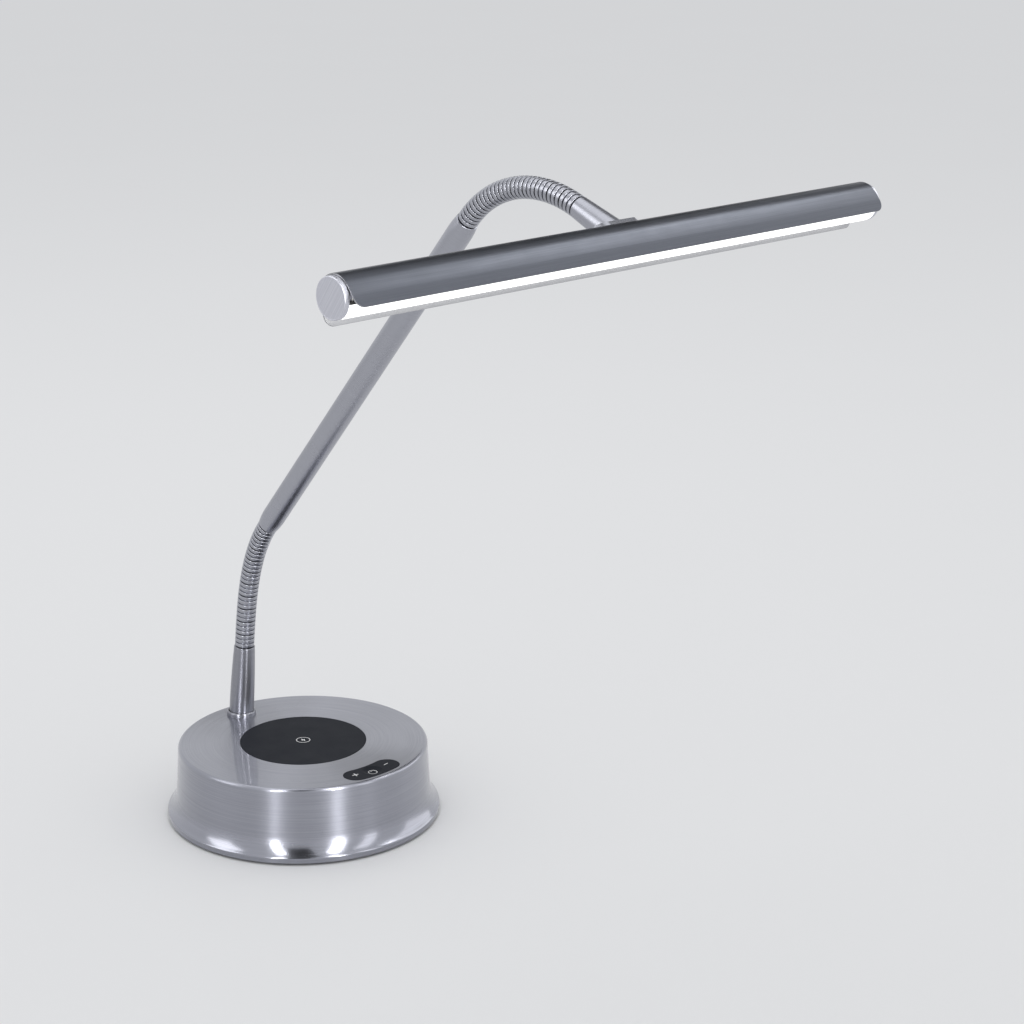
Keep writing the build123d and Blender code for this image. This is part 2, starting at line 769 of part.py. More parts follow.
def saddle_screw_holes():
    """Cut the ways for the saddle's two countersunk screws."""
    head_r, shank_r, length = SADDLE_SCREW
    with Locations(facing(SADDLE_ANGLE, SADDLE_SCREW_FACE)):
        with Locations((-SADDLE_SCREW_X, 0), (SADDLE_SCREW_X, 0)):
            CounterSinkHole(
                shank_r + SCREW_PLAY,
                head_r + SCREW_PLAY,
                depth=length + SCREW_PLAY,
                counter_sink_angle=90,
            )


with BuildPart() as head_ferrule:
    turn(
        FERRULE_START,
        FERRULE_LEAN,
        (0, 0),
        (FERRULE_START_R, 0),
        (FERRULE_END_R, FERRULE_L),
        (0, FERRULE_L),
    )
    with BuildSketch(SECTION):
        Circle(SADDLE_R)
    extrude(amount=SADDLE_L, both=True, mode=Mode.SUBTRACT)
    turn(
        FERRULE_START,
        FERRULE_LEAN,
        (0, 0),
        (SOCKET_R, 0),
        (SOCKET_R, SOCKET_L),
        (BORE_R, SOCKET_L),
        (BORE_R, FERRULE_L),
        (0, FERRULE_L),
        mode=Mode.SUBTRACT,
    )

with BuildPart() as saddle:
    with BuildSketch(SECTION):
        Circle(SADDLE_R)
        Circle(SHADE_R, mode=Mode.SUBTRACT)
    extrude(amount=SADDLE_L / 2, both=True)
    with BuildSketch(facing(SADDLE_ANGLE, 0)):
        RectangleRounded(SADDLE_L, SADDLE_W, SADDLE_CORNER)
    extrude(amount=SADDLE_R, mode=Mode.INTERSECT)
    wire_hole()
    saddle_screw_holes()

with BuildPart() as shade:
    with BuildSketch(SECTION):
        with BuildLine():
            visor_tip = polar(VISOR_TIP_R, VISOR_TIP_ANGLE)
            rear_tip = polar(REAR_TIP_R, REAR_TIP_ANGLE)
            crown = (VISOR_BEND + REAR_BEND) / 2
            bore = SHADE_R - SHEET_T
            Line(visor_tip, polar(SHADE_R, VISOR_BEND))
            ThreePointArc(
                polar(SHADE_R, VISOR_BEND), polar(SHADE_R, crown), polar(SHADE_R, REAR_BEND)
            )
            Polyline(
                polar(SHADE_R, REAR_BEND),
                rear_tip,
                inside(rear_tip, REAR_BEND),
                polar(bore, REAR_BEND),
            )
            ThreePointArc(polar(bore, REAR_BEND), polar(bore, crown), polar(bore, VISOR_BEND))
            Polyline(polar(bore, VISOR_BEND), inside(visor_tip, VISOR_BEND), visor_tip)
        make_face()
    extrude(amount=SHADE_L / 2, both=True)
    corners = shade.edges().filter_by(lambda edge: abs(edge.length - SHEET_T) < 0.01)
    fillet(corners, WING_CORNER)
    wire_hole()
    saddle_screw_holes()

with BuildPart() as led_carrier:
    with BuildSketch(SECTION):
        Circle(CARRIER_R)
    extrude(amount=CARRIER_L / 2, both=True)
    split(bisect_by=facing(OPENING_ANGLE, -CARRIER_WEB), keep=Keep.BOTTOM)
    # two jaws that reach round to the lens
    add(rolled_strip(CARRIER_INNER_R, CARRIER_R, LENS_TO, LENS_FROM + 360, CARRIER_L))
    wire_hole()
    saddle_screw_holes()
    with BuildSketch(
        SECTION.offset(CARRIER_L / 2), SECTION.offset(PORT_L - CARRIER_L / 2)
    ):
        with Locations(*PORTS):
            Circle(PORT_R)
    extrude(amount=-PORT_L, mode=Mode.SUBTRACT)

with BuildPart() as led_board:
    with BuildSketch(facing(OPENING_ANGLE, -CARRIER_WEB)):
        Rectangle(LED_BOARD[0], LED_BOARD[1])
    extrude(amount=LED_BOARD[2])

with BuildPart() as leds:
    with BuildSketch(facing(OPENING_ANGLE, LED_BOARD[2] - CARRIER_WEB)):
        with GridLocations(LED_PITCH, LED_PITCH, LED_COUNT, 1):
            Rectangle(LED[0], LED[1])
    extrude(amount=LED[2])

with BuildPart() as end_cap_left:
    with BuildSketch(SECTION.offset(HEAD_L / 2 - CAP_T)):
        Circle(CAP_R)
    extrude(amount=CAP_T)
    chamfer(end_cap_left.faces().sort_by(Axis.X)[0].edges(), CAP_EDGE)
    with BuildSketch(SECTION.offset(HEAD_L / 2 - CAP_T)):
        Circle(CAP_PLUG_R)
    extrude(amount=-CAP_PLUG_L)
    with BuildSketch(SECTION.offset(CARRIER_L / 2 + PORT_L - PEG_L)):
        with Locations(*PORTS):
            Circle(PEG_R)
    extrude(amount=-PORT_L)

with BuildPart() as end_cap_right:
    mirror(end_cap_left.part, about=Plane.YZ)

SCREW_FACE = facing(SADDLE_ANGLE, SADDLE_SCREW_FACE).rotated((180, 0, 0))
SADDLE_SCREWS = [
    SCREW_FACE.location * Location((x, 0, 0)) for x in (-SADDLE_SCREW_X, SADDLE_SCREW_X)
]

save(head_ferrule.part, "head_ferrule")
save(saddle.part, "saddle")
save(group(flat_screw(*SADDLE_SCREW), SADDLE_SCREWS), "saddle_screws")
save(shade.part, "shade")
save(led_carrier.part, "led_carrier")
save(led_board.part, "led_board")
save(leds.part, "leds")
save(
    rolled_strip(LENS_INNER_R, LENS_R, LENS_FROM + LENS_SEAM, LENS_TO - LENS_SEAM, SHADE_L),
    "diffuser",
)
save(end_cap_left.part, "end_cap_left")
save(end_cap_right.part, "end_cap_right")
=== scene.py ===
"""Dresses a packed piano lamp: builds its seen pieces, their finishes, the light and the view."""

import json
import logging
from collections.abc import Callable, Iterator
from contextlib import contextmanager
from dataclasses import dataclass
from enum import Enum
from math import atan2, cos, degrees, dist, pi, radians, sin, sqrt

import bpy
from bpy.types import Material, Node, NodeTree
from mathutils import Euler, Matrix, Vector

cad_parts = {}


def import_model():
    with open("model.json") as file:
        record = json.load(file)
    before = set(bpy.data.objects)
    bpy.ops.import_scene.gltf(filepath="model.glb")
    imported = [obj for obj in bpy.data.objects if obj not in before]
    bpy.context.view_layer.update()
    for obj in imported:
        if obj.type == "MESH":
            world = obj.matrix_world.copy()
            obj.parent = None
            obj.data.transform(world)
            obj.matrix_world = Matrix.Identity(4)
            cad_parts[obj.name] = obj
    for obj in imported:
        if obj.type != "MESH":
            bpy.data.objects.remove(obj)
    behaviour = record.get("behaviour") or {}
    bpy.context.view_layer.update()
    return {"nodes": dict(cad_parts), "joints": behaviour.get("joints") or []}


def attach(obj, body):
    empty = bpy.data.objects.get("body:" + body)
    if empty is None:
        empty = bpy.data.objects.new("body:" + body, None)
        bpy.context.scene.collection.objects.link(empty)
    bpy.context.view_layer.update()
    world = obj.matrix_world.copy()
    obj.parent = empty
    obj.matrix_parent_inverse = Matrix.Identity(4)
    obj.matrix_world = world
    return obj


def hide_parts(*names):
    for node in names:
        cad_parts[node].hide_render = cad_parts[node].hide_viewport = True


log = logging.getLogger("lamp")

Piece = bpy.types.Object
Socket = bpy.types.NodeSocket
Point = tuple[float, float]
Triple = tuple[float, float, float]
Colour = tuple[float, float, float]

# lengths in millimetres, angles in degrees
MM = 0.001
MERGE_GAP = 0.004
NEAR = 0.01
AXIS_R = 0.01
SIGN_T = 0.03
SMOOTH_ANGLE = 40.0
STEM_LEAN = 6.1
ARM_LEAN = 39.95
FERRULE_LEAN = 111.8
STEM_BACK = 71.8
TOP = 53.0
STEM_FOOT = (0.0, STEM_BACK, TOP)
ARM_START = (0.0, 34.758, 207.732)
FERRULE_START = (0.0, -268.453, 475.245)
HEAD_CENTRE = (0.0, -307.617, 458.18)


# ---- modelling bench ----
def clear_selection() -> None:
    """Return to object mode with nothing selected."""
    if bpy.context.object and bpy.context.object.mode != "OBJECT":
        mode("OBJECT")
    bpy.ops.object.select_all(action="DESELECT")


def mode(name: str) -> None:
    """Change the active object's mode."""
    bpy.ops.object.mode_set(mode=name)


def activate(obj: Piece) -> None:
    """Make one object the only selected and active one."""
    clear_selection()
    obj.select_set(True)
    bpy.context.view_layer.objects.active = obj


def named(name: str) -> Piece:
    """Name the object that was just added and return it."""
    obj = bpy.context.object
    obj.name = name
    return obj


def apply_modifiers(obj: Piece) -> None:
    """Apply every modifier of an object in order."""
    activate(obj)
    for modifier in list(obj.modifiers):
        bpy.ops.object.modifier_apply(modifier=modifier.name)


def settle(obj: Piece, turn: Triple = (0, 0, 0), place: Triple = (0, 0, 0)) -> None:
    """Turn and move a piece, then put its place into its mesh.

    Args:
        obj: the piece.
        turn: angles about X, Y and Z.
        place: where its own zero goes.
    """
    activate(obj)
    obj.rotation_euler = Euler([radians(a) for a in turn])
    obj.location = Vector(obj.location) + Vector(place) * MM
    bpy.ops.object.transform_apply(location=True, rotation=True, scale=True)


@contextmanager
def editing(obj: Piece) -> Iterator[None]:
    """Edit one piece with its whole mesh selected, then return to object mode."""
    activate(obj)
    mode("EDIT")
    bpy.ops.mesh.select_all(action="SELECT")
    yield
    mode("OBJECT")


def draw_out(x: float, y: float, z: float) -> None:
    """Extrude what is selected by one step."""
    bpy.ops.mesh.extrude_region_move(TRANSFORM_OT_translate={"value": (x * MM, y * MM, z * MM)})


def tidy_mesh(obj: Piece) -> None:
    """Merge doubled points and turn every face outwards."""
    with editing(obj):
        bpy.ops.mesh.remove_doubles(threshold=MERGE_GAP * MM)
        bpy.ops.mesh.normals_make_consistent(inside=False)


def smooth(obj: Piece) -> None:
    """Shade smooth, keep sharp edges sharp, and keep flat faces flat."""
    activate(obj)
    bpy.ops.object.shade_smooth_by_angle(angle=radians(SMOOTH_ANGLE))
    weights = obj.modifiers.new("flat_faces", "WEIGHTED_NORMAL")
    weights.keep_sharp = True
    apply_modifiers(obj)


def soften(obj: Piece, width: float, segments: int, angle: float) -> None:
    """Round a piece's sharp edges.

    Args:
        obj: the piece.
        width: size of the rounding.
        segments: faces across the rounding.
        angle: only edges sharper than this.
    """
    bevel = obj.modifiers.new("rounding", "BEVEL")
    bevel.width = width * MM
    bevel.segments = segments
    bevel.limit_method = "ANGLE"
    bevel.angle_limit = radians(angle)
    apply_modifiers(obj)


def carve(obj: Piece, tool: Piece, operation: str = "DIFFERENCE") -> None:
    """Cut a piece with a tool and remove the tool.

    Args:
        obj: the piece.
        tool: what it is cut with.
        operation: DIFFERENCE, or UNION to join the two, or INTERSECT to keep what they share.
    """
    cut = obj.modifiers.new("cut", "BOOLEAN")
    cut.operation = operation
    cut.solver = "EXACT"
    cut.object = tool
    apply_modifiers(obj)
    bpy.data.objects.remove(tool)


def lathe(name: str, profile: list[Point], segments: int = 96) -> Piece:
    """Turn a profile about Z by drawing a ring along it.

    Args:
        name: the piece's name.
        profile: radius and height of each ring. It is closed where its last point
            repeats its first. Otherwise both ends are filled.
        segments: points round the ring.

    Returns:
        The turned piece, standing upright at its own zero.
    """
    radius, height = profile[0]
    closed = profile[-1] == profile[0]
    bpy.ops.mesh.primitive_circle_add(
        vertices=segments,
        radius=max(radius, AXIS_R) * MM,
        location=(0, 0, height * MM),
        fill_type="NOTHING" if closed else "NGON",
    )
    obj = named(name)
    settle(obj)
    with editing(obj):
        if not closed:
            bpy.ops.mesh.select_mode(type="EDGE")
        for (r0, z0), (r1, z1) in zip(profile, profile[1:]):
            ratio = max(r1, AXIS_R) / max(r0, AXIS_R)
            draw_out(0, 0, z1 - z0)
            bpy.ops.transform.resize(value=(ratio, ratio, 1), center_override=(0, 0, 0))
    tidy_mesh(obj)
    return obj


def rod(name: str, radius: float, low: float, high: float, segments: int) -> Piece:
    """Round rod along Z to cut or join with, from its radius and the heights of its ends."""
    return lathe(name, [(radius, low), (radius, high)], segments)


def block(name: str, size: Triple, centre: Triple) -> Piece:
    """Square block to cut with, from its size and centre."""
    bpy.ops.mesh.primitive_cube_add(size=1, location=[c * MM for c in centre])
    obj = named(name)
    obj.scale = [c * MM for c in size]
    settle(obj)
    return obj


def tangent_arc(start: Point, along: Point, end: Point, steps: int) -> list[Point]:
    """Points of the arc that leaves start in one direction and reaches end.

    Args:
        start: first point.
        along: unit direction at the first point.
        end: last point.
        steps: stretches in the arc.

    Returns:
        The points after start, up to end.
    """
    dx, dy = end[0] - start[0], end[1] - start[1]
    normal = (-along[1], along[0])
    radius = (dx * dx + dy * dy) / (2 * (normal[0] * dx + normal[1] * dy))
    centre = (start[0] + normal[0] * radius, start[1] + normal[1] * radius)
    first = atan2(start[1] - centre[1], start[0] - centre[0])
    last = atan2(end[1] - centre[1], end[0] - centre[0])
    sweep = (last - first + pi) % (2 * pi) - pi
    turns = [first + sweep * i / steps for i in range(1, steps + 1)]
    reach = abs(radius)
    return [(centre[0] + reach * cos(a), centre[1] + reach * sin(a)) for a in turns]


def heading(lean: float) -> Vector:
    """Unit direction in the lamp's middle plane, lean degrees forward of upright."""
    return Vector((0, -sin(radians(lean)), cos(radians(lean))))


def pick(obj: Piece, test: Callable[[Vector], bool]) -> None:
    """Enter edit mode with exactly those points selected that pass a test.

    Args:
        obj: the piece.
        test: takes a point's place and says whether it is selected.
    """
    activate(obj)
    mode("EDIT")
    bpy.ops.mesh.select_mode(type="VERT")
    bpy.ops.mesh.select_all(action="DESELECT")
    mode("OBJECT")
    for vertex in obj.data.vertices:
        vertex.select = test(vertex.co / MM)
    mode("EDIT")


def drawn_sheet(name: str, half_length: float, course: list[Point]) -> Piece:
    """Sheet drawn out from one edge along X, its faces turned away from the X axis.

    Args:
        name: the piece's name.
        half_length: half of the edge's length.
        course: places of the edge, forward and up from the X axis.

    Returns:
        The sheet, with no thickness yet.
    """
    forward, up = course[0]
    bpy.ops.mesh.primitive_plane_add(size=1, location=(0, -forward * MM, up * MM))
    obj = named(name)
    obj.scale = (2 * half_length * MM, MM, MM)
    settle(obj)
    pick(obj, lambda p: p.y > -forward)
    bpy.ops.mesh.delete(type="VERT")
    bpy.ops.mesh.select_all(action="SELECT")
    bpy.ops.transform.translate(value=(0, 0.5 * MM, 0))
    for (f0, u0), (f1, u1) in zip(course, course[1:]):
        draw_out(0, f0 - f1, u1 - u0)
    mode("OBJECT")
    tidy_mesh(obj)
    away = sum(face.normal.dot(face.center * Vector((0, 1, 1))) for face in obj.data.polygons)
    if away < 0:
        with editing(obj):
            bpy.ops.mesh.flip_normals()
    return obj


def two_slots(obj: Piece) -> None:
    """Give a piece two empty material slots."""
    obj.data.materials.append(None)
    obj.data.materials.append(None)


def thicken(obj: Piece, thickness: float, two_sided: bool = False) -> None:
    """Give a sheet its thickness behind its faces.

    Args:
        obj: the sheet.
        thickness: its thickness.
        two_sided: give the back and the edges a material slot of their own.
    """
    wall = obj.modifiers.new("wall", "SOLIDIFY")
    if two_sided:
        two_slots(obj)
        wall.material_offset = wall.material_offset_rim = 1
    wall.thickness = thickness * MM
    wall.offset = -1
    wall.use_even_offset = True
    apply_modifiers(obj)


def arc_slab(
    name: str, ring: float, half_angle: float, half_width: float, top: float, depth: float
) -> Piece:
    """Slab with round ends that follows a ring about Z across the front.

    Args:
        name: the piece's name.
        ring: radius of its middle line.
        half_angle: angle of each end's centre from the front.
        half_width: half of its width, and the radius of its ends.
        top: height of its upper face.
        depth: its thickness.

    Returns:
        The slab.
    """
    place = (0, -ring * MM, top * MM)
    bpy.ops.mesh.primitive_circle_add(vertices=64, radius=half_width * MM, location=place)
    obj = named(name)
    settle(obj)
    pick(obj, lambda p: p.x < -0.001)
    bpy.ops.mesh.delete(type="VERT")
    mode("OBJECT")
    settle(obj, turn=(0, 0, half_angle))
    angle = radians(half_angle)
    ends = [
        Vector((r * sin(angle), -r * cos(angle), top))
        for r in (ring - half_width, ring + half_width)
    ]
    pick(obj, lambda p: min((p - end).length for end in ends) < NEAR)
    bpy.ops.mesh.spin(steps=12, angle=angle, center=(0, 0, 0), axis=(0, 0, 1))
    mode("OBJECT")
    twin = obj.modifiers.new("other_half", "MIRROR")
    twin.use_clip = True
    twin.merge_threshold = NEAR * MM
    apply_modifiers(obj)
    tidy_mesh(obj)
    with editing(obj):
        bpy.ops.mesh.edge_face_add()
        draw_out(0, 0, -depth)
    tidy_mesh(obj)
    return obj


def flat_sign(name: str, outline: list[Point], centre: Triple, turn: float = 0) -> Piece:
    """Thin sign printed on a flat face.

    Args:
        name: the piece's name.
        outline: its corners round its own centre.
        centre: where its centre goes.
        turn: angle about Z.

    Returns:
        The sign.
    """
    bpy.ops.mesh.primitive_circle_add(vertices=len(outline), radius=MM, fill_type="NGON")
    obj = named(name)
    for vertex, (x, y) in zip(obj.data.vertices, outline):
        vertex.co = (x * MM, y * MM, 0)
    thicken(obj, SIGN_T)
    tidy_mesh(obj)
    settle(obj, turn=(0, 0, turn), place=centre)
    return obj


def ring_sign(name: str, radius: float, width: float, centre: Triple) -> Piece:
    """Thin ring printed on a flat face, from its outer radius and its line width."""
    inner, low = radius - width, -SIGN_T
    obj = lathe(name, [(inner, low), (radius, low), (radius, 0), (inner, 0), (inner, low)], 64)
    settle(obj, place=centre)
    return obj


def copied(obj: Piece, name: str) -> Piece:
    """Copy a piece together with its mesh."""
    twin = obj.copy()
    twin.data = obj.data.copy()
    twin.name = name
    bpy.context.scene.collection.objects.link(twin)
    return twin


# ---- finishes ----
BUMP_DEPTH = 0.05
MARKS = (0.3, 0.9)
POLISH = 0.62
POLISH_START = 0.6
SMALLEST_R = 1e-4
MASK = {"Mask": "NodeSocketFloat"}


class Grain(Enum):
    """Which way a brushed finish runs: round the upright axis or along the piece."""

    ROUND = "round"
    LENGTH = "length"


class Shader:
    """Nodes of one material or node group, added from left to right."""

    def __init__(self, tree: NodeTree) -> None:
        """Start on an existing node tree."""
        self.tree = tree
        self.column = 0

    def add(self, kind: str, inputs: dict | None = None, **settings: object) -> Node:
        """Add a node.

        Args:
            kind: the node's type name.
            inputs: value or linked socket for each input, by name or number.
            settings: attributes of the node itself.

        Returns:
            The new node.
        """
        node = self.tree.nodes.new(kind)
        node.location = (self.column, 0)
        self.column += 200
        for key, value in settings.items():
            setattr(node, key, value)
        self.feed(node, inputs or {})
        return node

    def feed(self, node: Node, inputs: dict) -> None:
        """Link each input that is given a socket, and set each other one."""
        for key, value in inputs.items():
            if isinstance(value, Socket):
                self.tree.links.new(value, node.inputs[key])
            else:
                node.inputs[key].default_value = value

    def mix(self, factor: Socket, first: Colour, second: Colour) -> Socket:
        """Add a mix from a first colour to a second and return its output."""
        inputs = {0: factor, 6: (*first, 1), 7: (*second, 1)}
        return self.add("ShaderNodeMix", inputs, data_type="RGBA").outputs[2]

    def math(self, operation: str, *values: object) -> Socket:
        """Add a Math node on values or sockets and return its output."""
        node = self.add("ShaderNodeMath", dict(enumerate(values)), operation=operation)
        return node.outputs[0]

    def times(self, first: Socket, second: object) -> Socket:
        """Multiply a socket by another or by a value and return the output."""
        return self.math("MULTIPLY", first, second)

    def span(self, value: Socket, start: float, end: float, low: float, high: float) -> Socket:
        """Add a Map Range node from start and end to low and high and return its output."""
        inputs = {0: value, 1: start, 2: end, 3: low, 4: high}
        return self.add("ShaderNodeMapRange", inputs).outputs[0]

    def noise(self, inputs: dict, **settings: object) -> Socket:
        """Add a Noise node and return its value."""
        return self.add("ShaderNodeTexNoise", inputs, **settings).outputs[0]

    def bump(self, height: Socket, strength: float) -> Socket:
        """Add a Bump node on a height and return its normal."""
        inputs = {"Strength": strength, "Distance": BUMP_DEPTH * MM, "Height": height}
        return self.add("ShaderNodeBump", inputs).outputs[0]


def new_group(name: str, inputs: dict[str, object], outputs: dict[str, str]) -> tuple:
    """Start a shader node group.

    Args:
        name: the group's name.
        inputs: default value of each input: a number, or None for a vector.
        outputs: socket type of each output.

    Returns:
        The group, its Shader, its input node and its output node.
    """
    tree = bpy.data.node_groups.new(name, "ShaderNodeTree")
    for key, value in inputs.items():
        kind = "NodeSocketVector" if value is None else "NodeSocketFloat"
        socket = tree.interface.new_socket(key, in_out="INPUT", socket_type=kind)
        if value is not None:
            socket.default_value = value
    for key, kind in outputs.items():
        tree.interface.new_socket(key, in_out="OUTPUT", socket_type=kind)
    shader = Shader(tree)
    return tree, shader, shader.add("NodeGroupInput"), shader.add("NodeGroupOutput")


def grain_group(grain: Grain) -> NodeTree:
    """Brushing in circles about Z or in lines along Z: a mask and a height.

    Args:
        grain: which of the two.

    Returns:
        The node group.
    """
    tree, s, given, out = new_group(
        f"brushing_{grain.value}",
        {"Vector": None, "Fineness": 900.0, "Run": 2.5},
        {**MASK, "Height": "NodeSocketFloat"},
    )
    x, y, z = s.add("ShaderNodeSeparateXYZ", {0: given.outputs["Vector"]}).outputs
    fine, run = given.outputs["Fineness"], given.outputs["Run"]
    look = {"Scale": 1.0, "Detail": 3.0, "Roughness": 0.6}
    settings = {}
    if grain is Grain.ROUND:
        radius = s.math("SQRT", s.math("ADD", s.times(x, x), s.times(y, y)))
        reach = s.math("MAXIMUM", radius, SMALLEST_R)
        cosine, sine = (s.times(s.math("DIVIDE", c, reach), run) for c in (x, y))
        place = {0: s.times(radius, fine), 1: s.times(z, fine), 2: cosine}
        look["W"] = sine
        settings["noise_dimensions"] = "4D"
    else:
        place = {0: s.times(x, fine), 1: s.times(y, fine), 2: s.times(z, run)}
    look["Vector"] = s.add("ShaderNodeCombineXYZ", place).outputs[0]
    lines = s.noise(look, **settings)
    s.feed(out, {"Mask": lines, "Height": lines})
    return tree


def handling_group() -> NodeTree:
    """Faint marks of handling.

    Returns:
        A node group whose mask is a soft cloud with a few small specks.
    """
    tree, s, given, out = new_group("handling", {"Vector": None, "Size": 60.0}, MASK)
    spot, size = given.outputs["Vector"], given.outputs["Size"]
    cloud = s.noise({"Vector": spot, "Scale": size, "Detail": 5.0})
    specks = s.noise({"Vector": spot, "Scale": s.times(size, 14.0), "Detail": 2.0})
    s.feed(out, {"Mask": s.math("ADD", cloud, s.span(specks, 0.64, 0.74, 0.0, 0.5))})
    return tree


class Effects:
    """Node groups that several finishes share, each built once."""

    def __init__(self) -> None:
        """Build the groups."""
        self.grain = {grain: grain_group(grain) for grain in Grain}
        self.handling = handling_group()

    def worn(self, s: Shader, spot: Socket, low: float, high: float) -> Socket:
        """Add the marks of handling to a material.

        Args:
            s: the material's nodes.
            spot: the piece's own coordinates.
            low: result where the piece is clean.
            high: result where it is marked most.

        Returns:
            A value between low and high.
        """
        marks = s.add("ShaderNodeGroup", {"Vector": spot}, node_tree=self.handling)
        return s.span(marks.outputs["Mask"], *MARKS, low, high)


def blank(name: str) -> tuple[Material, Shader, Node, Socket]:
    """Start a material.

    Args:
        name: the material's name.

    Returns:
        The material, its Shader, its Principled node and the piece's own coordinates.
    """
    material = bpy.data.materials.new(name)
    material.use_nodes = True
    material.node_tree.nodes.clear()
    shader = Shader(material.node_tree)
    principled = shader.add("ShaderNodeBsdfPrincipled")
    shader.add("ShaderNodeOutputMaterial", {"Surface": principled.outputs[0]})
    return material, shader, principled, shader.add("ShaderNodeTexCoord").outputs["Object"]


@dataclass(frozen=True)
class Finish:
    """One procedural material."""

    name: str

    def look(self, s: Shader, spot: Socket, effects: Effects) -> dict[str, object]:
        """Work out what the finish says about its Principled node.

        Args:
            s: the material's nodes.
            spot: the piece's own coordinates.
            effects: the shared node groups.

        Returns:
            Value or linked socket for each input that the finish sets.
        """
        raise NotImplementedError

    def make(self, effects: Effects) -> Material:
        """Build the material.

        Args:
            effects: the shared node groups.

        Returns:
            The finished material.
        """
        material, s, principled, spot = blank(self.name)
        s.feed(principled, self.look(s, spot, effects))
        return material


@dataclass(frozen=True)
class Brushed(Finish):
    """Brushed metal."""

    dark: Colour
    light: Colour
    roughness: tuple[float, float] = (0.28, 0.42)
    grain: Grain = Grain.LENGTH
    turn: Triple = (0, 0, 0)
    axis: Triple = (0, 0, 0)
    fineness: float = 2000.0
    run: float = 14.0
    anisotropy: float = 0.0
    relief: float = 0.04
    coat: float = 0.0
    polished_below: float = 0.0

    def look(self, s: Shader, spot: Socket, effects: Effects) -> dict[str, object]:
        """Values and sockets for the Principled node."""
        place = {
            "Vector": spot,
            "Location": [c * MM for c in self.axis],
            "Rotation": [radians(a) for a in self.turn],
        }
        turned = s.add("ShaderNodeMapping", place, vector_type="TEXTURE").outputs[0]
        brushing = {"Vector": turned, "Fineness": self.fineness, "Run": self.run}
        lines = s.add("ShaderNodeGroup", brushing, node_tree=effects.grain[self.grain])
        tone = s.span(lines.outputs["Mask"], 0.3, 0.7, 0.0, 1.0)
        low, high = self.roughness
        rough = s.span(tone, 0.0, 1.0, high, low)
        rough = s.math("ADD", rough, effects.worn(s, spot, -0.02, 0.04))
        if self.polished_below:
            height = s.add("ShaderNodeSeparateXYZ", {0: spot}).outputs[2]
            edge = self.polished_below * MM
            polish = s.span(height, POLISH_START * edge, edge, POLISH, 1.0)
            rough = s.times(rough, polish)
        return {
            "Base Color": s.mix(tone, self.dark, self.light),
            "Roughness": rough,
            "Normal": s.bump(lines.outputs["Height"], self.relief),
            "Metallic": 1.0,
            "Anisotropic": self.anisotropy,
            "Anisotropic Rotation": 0.25,
            "Coat Weight": self.coat,
            "Coat Roughness": 0.07,
        }


@dataclass(frozen=True)
class Moulded(Finish):
    """Moulded plastic, lacquer, foam or board."""

    colour: Colour
    roughness: float = 0.45
    speckle: float = 1600.0
    relief: float = 0.1
    variation: float = 0.12
    coat: float = 0.0
    shine: float = 0.5

    def look(self, s: Shader, spot: Socket, effects: Effects) -> dict[str, object]:
        """Values and sockets for the Principled node."""
        pores = s.noise({"Vector": spot, "Scale": self.speckle, "Detail": 3.0})
        dark = tuple(c * (1 - self.variation) for c in self.colour)
        light = tuple(c * (1 + self.variation) for c in self.colour)
        return {
            "Base Color": s.mix(pores, dark, light),
            "Roughness": effects.worn(s, spot, self.roughness - 0.04, self.roughness + 0.08),
            "Normal": s.bump(pores, self.relief),
            "Coat Weight": self.coat,
            "Specular IOR Level": self.shine,
        }


@dataclass(frozen=True)
class Glowing(Finish):
    """Opal plastic lit from behind."""

    colour: Colour
    strength: float

    def look(self, s: Shader, spot: Socket, effects: Effects) -> dict[str, object]:
        """Values and sockets for the Principled node."""
        haze = effects.worn(s, spot, 1.0, 0.94)
        return {
            "Emission Color": s.mix(haze, (0, 0, 0), self.colour),
            "Base Color": (*self.colour, 1),
            "Emission Strength": self.strength,
            "Roughness": 0.35,
        }


TUBE = {"grain": Grain.ROUND, "fineness": 1200.0, "run": 0.8, "relief": 0.01}
ALONG_X = (0, 90, 0)

